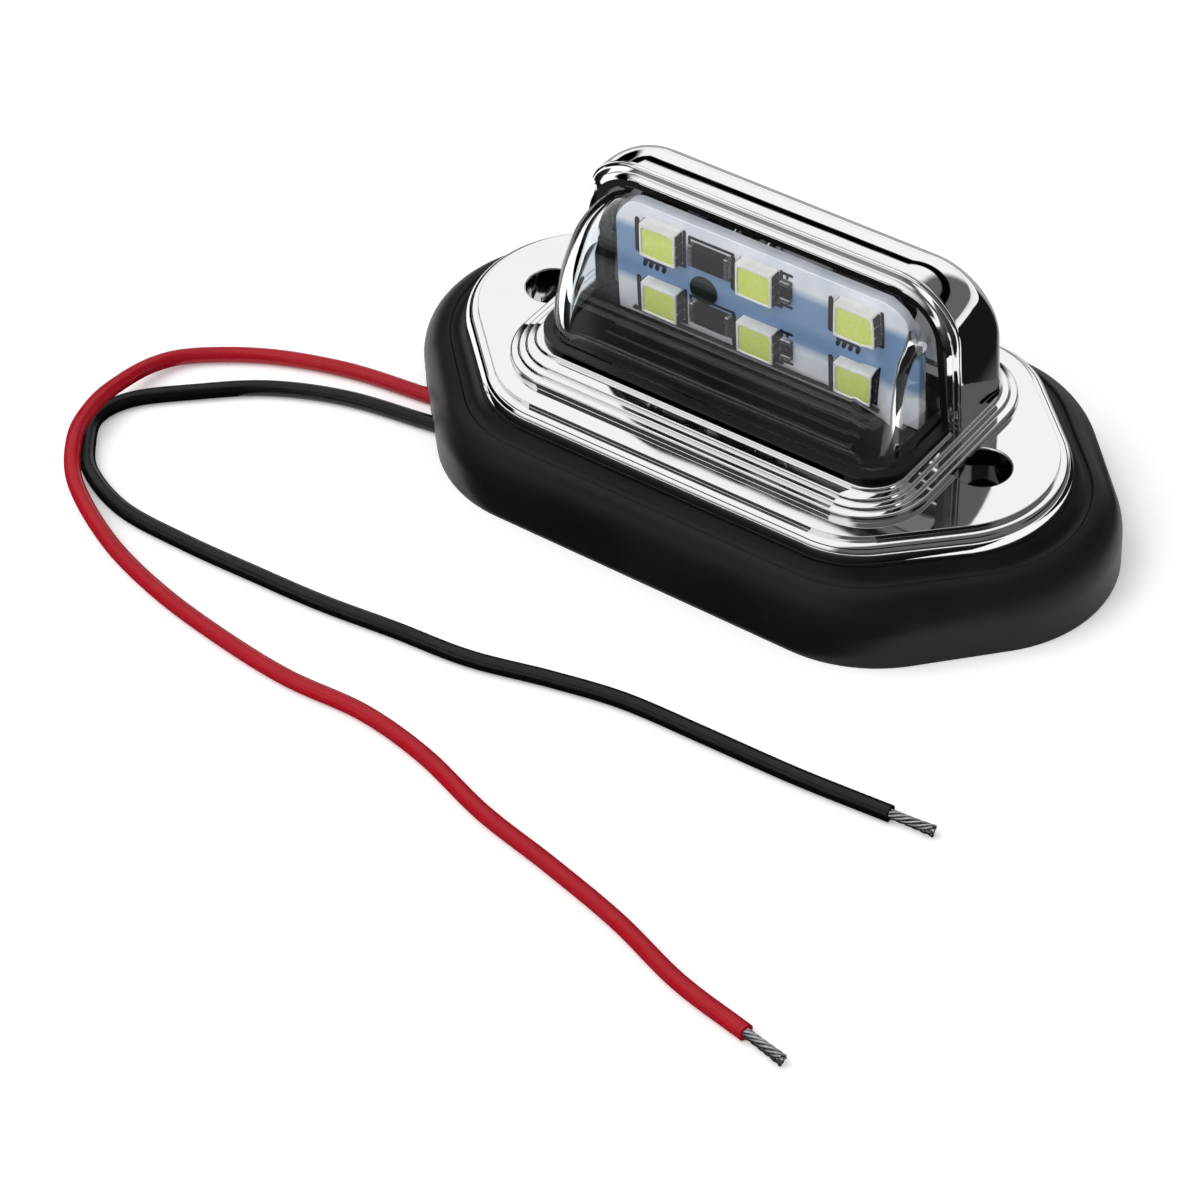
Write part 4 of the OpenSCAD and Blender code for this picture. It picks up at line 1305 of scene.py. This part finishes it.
class LAMP_OT_stage(Operator):
    """Make the floor, the light and the camera"""

    bl_idname = "lamp.stage"
    bl_label = "Stage"

    def execute(self, context):
        scene, s = context.scene, settings("lamp_stage")
        scene.view_settings.view_transform = "Standard"
        self.camera(scene, s)
        self.floor()
        self.cards()
        self.world(scene, s)
        self.key_lamp(scene, s)
        return {"FINISHED"}

    def camera(self, scene, s):
        """The camera looks along its back axis turned round, from its distance, aimed aside."""
        ca, sa = math.cos(s.azimuth), math.sin(s.azimuth)
        ce, se = math.cos(s.elevation), math.sin(s.elevation)
        back = np.array([sa * ce, -ca * ce, se])
        right = np.array([ca, sa, 0])
        up = np.cross(back, right)
        c, d = math.cos(s.roll), math.sin(s.roll)
        right, up = right * c + up * d, up * c - right * d
        place = back * s.distance + right * s.aside + up * s.above
        camera = bpy.data.objects.new("camera", bpy.data.cameras.new("camera"))
        camera.data.lens = s.focal
        camera.data.clip_start = 0.01
        camera.data.clip_end = 20
        camera.matrix_world = posed(right, up, back, place)
        scene.collection.objects.link(camera)
        scene.camera = camera

    def floor(self):
        """A pale floor that keeps the lamp's shadow, and shows white to the camera and in
        what mirrors or bends light."""
        half, glow_share = 3, 0.22
        floor = flat("floor", -half, half, -half, half, 0)
        material, tree = new_material("painted_floor")[:2]
        shade = add(tree, "ShaderNodeBsdfDiffuse", {"Color": paint("floor")})
        rays = add(tree, "ShaderNodeLightPath").outputs
        seen = rays["Is Camera Ray"]
        for kind in ("Is Glossy Ray", "Is Transmission Ray"):
            seen = add(tree, "ShaderNodeMath", {0: seen, 1: rays[kind]}, operation="MAXIMUM").outputs[0]
        level = add(tree, "ShaderNodeMath", {0: seen, 1: glow_share}, operation="MULTIPLY").outputs[0]
        glow = add(tree, "ShaderNodeEmission", {"Color": (1, 1, 1, 1), "Strength": level})
        both = add(tree, "ShaderNodeAddShader", {0: shade.outputs[0], 1: glow.outputs[0]})
        add(tree, "ShaderNodeOutputMaterial", {"Surface": both.outputs[0]})
        floor.data.materials.append(material)

    def cards(self):
        """Two cards on the floor that stand for the dark ends of the studio in what the chrome
        mirrors: behind the lamp grey to the left and black to the right, and in front of it
        black and paler with the distance. Nothing but mirrored light sees them."""
        for name, near, far, along, start, end, low, high in (
            ("backdrop", 28.2, 200, "X", 0.03, 0.045, 0.42, 0.01),
            ("apron", -300, -28.2, "Y", -0.2, -0.03, 0.09, 0.004),
        ):
            card = flat(name, -160 * MM, 160 * MM, near * MM, far * MM, 0.3 * MM)
            material, tree, place = new_material("painted_card_" + name)
            across = add(tree, "ShaderNodeSeparateXYZ", {0: place}).outputs[along]
            level = add(tree, "ShaderNodeMapRange", {0: across, 1: start, 2: end, 3: low, 4: high})
            tint = add(tree, "ShaderNodeEmission", {"Color": (1, 1, 1, 1), "Strength": level.outputs[0]})
            add(tree, "ShaderNodeOutputMaterial", {"Surface": tint.outputs[0]})
            card.data.materials.append(material)
            card.visible_camera = card.visible_diffuse = False
            card.visible_shadow = card.visible_transmission = False

    def world(self, scene, s):
        """Plain light for dull surfaces, white behind the lamp, and for mirrors a white room
        with the dark strips that a photographer hangs in it. A strip's darkness is the product
        of its spans, and a span is an axis of the view direction, two places along it and the
        darkness at each."""
        world = bpy.data.worlds.new("studio")
        world.use_nodes = True
        tree = world.node_tree
        tree.nodes.clear()
        way = add(tree, "ShaderNodeTexCoord").outputs["Generated"]
        axis = add(tree, "ShaderNodeSeparateXYZ", {0: way}).outputs
        front, horizon = ("Y", -0.25, -0.05, 0.95, 0.0), ("Z", 0.0, 0.3, 0.95, 0.0)
        strips = (
            (front, horizon),
            (front, ("Z", 0.53, 0.56, 0.0, 1.0), ("Z", 0.68, 0.71, 1.0, 0.0)),
            (("Y", 0.1, 0.3, 0.0, 1.0), ("Z", 0.4, 0.43, 0.0, 1.0), ("Z", 0.57, 0.6, 1.0, 0.0)),
            (("X", -0.68, -0.6, 1.0, 0.0), ("Z", 0.35, 0.5, 1.0, 0.0)),
            (("X", 0.0, 0.2, 0.0, 0.87),),
        )
        mirror = 1.1
        for strip in strips:
            dark = 1.0
            for along, low, high, start, end in strip:
                edge = add(tree, "ShaderNodeMapRange", {
                    0: axis[along], 1: low, 2: high, 3: start, 4: end,
                }, interpolation_type="SMOOTHSTEP").outputs[0]
                dark = add(tree, "ShaderNodeMath", {0: dark, 1: edge}, operation="MULTIPLY").outputs[0]
            pale = add(tree, "ShaderNodeMath", {0: 1.0, 1: dark}, operation="SUBTRACT").outputs[0]
            mirror = add(tree, "ShaderNodeMath", {0: mirror, 1: pale}, operation="MULTIPLY").outputs[0]
        rays = add(tree, "ShaderNodeLightPath").outputs
        white = add(tree, "ShaderNodeMath", {
            0: rays["Is Camera Ray"], 1: rays["Is Transmission Ray"],
        }, operation="MAXIMUM").outputs[0]
        plain = add(tree, "ShaderNodeMix", {0: white, 2: s.world, 3: 1.0}).outputs[0]
        level = add(tree, "ShaderNodeMix", {0: rays["Is Glossy Ray"], 2: plain, 3: mirror}).outputs[0]
        shade = add(tree, "ShaderNodeBackground", {"Color": (1, 1, 1, 1), "Strength": level})
        add(tree, "ShaderNodeOutputWorld", {"Surface": shade.outputs[0]})
        scene.world = world

    def key_lamp(self, scene, s):
        """One large soft lamp above the front left, which doesn't show in mirrors."""
        data = bpy.data.lights.new("key", "AREA")
        data.shape = "RECTANGLE"
        data.size = data.size_y = 0.9
        data.energy = s.key
        key = bpy.data.objects.new("key", data)
        key.location = (-0.35, -0.45, 0.8)
        aim = -np.array(key.location) / np.linalg.norm(key.location)
        side = np.cross(aim, (0, 0, 1))
        side /= np.linalg.norm(side)
        key.matrix_world = posed(side, np.cross(side, aim), -aim, key.location)
        key.visible_glossy = False
        scene.collection.objects.link(key)


OPERATORS = (
    LAMP_OT_stage, LAMP_OT_leads, LAMP_OT_rubber_pad, LAMP_OT_housing, LAMP_OT_lens, LAMP_OT_lens_seal,
    LAMP_OT_circuit_board, LAMP_OT_diodes, LAMP_OT_resistors, LAMP_OT_rivet, LAMP_OT_carried,
)


class LAMP_PT_panel(Panel):
    """The lamp's pieces and settings"""

    bl_label = "Number Plate Lamp"
    bl_idname = "LAMP_PT_panel"
    bl_space_type = "VIEW_3D"
    bl_region_type = "UI"
    bl_category = "Lamp"

    def draw(self, context):
        for kind in OPERATORS:
            self.layout.operator(kind.bl_idname)
        for name, group in GROUPS.items():
            box = self.layout.box()
            box.label(text=group.__doc__)
            for key in group.__annotations__:
                box.prop(getattr(context.scene, name), key)


def register():
    for kind in (*GROUPS.values(), *OPERATORS, LAMP_PT_panel):
        bpy.utils.register_class(kind)
    for name, group in GROUPS.items():
        setattr(bpy.types.Scene, name, PointerProperty(type=group))


def unregister():
    for name in GROUPS:
        delattr(bpy.types.Scene, name)
    for kind in reversed((*GROUPS.values(), *OPERATORS, LAMP_PT_panel)):
        bpy.utils.unregister_class(kind)


def main():
    register()
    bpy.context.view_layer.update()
    for kind in OPERATORS:
        group, name = kind.bl_idname.split(".")
        getattr(getattr(bpy.ops, group), name)()


if __name__ == "__main__":
    main()
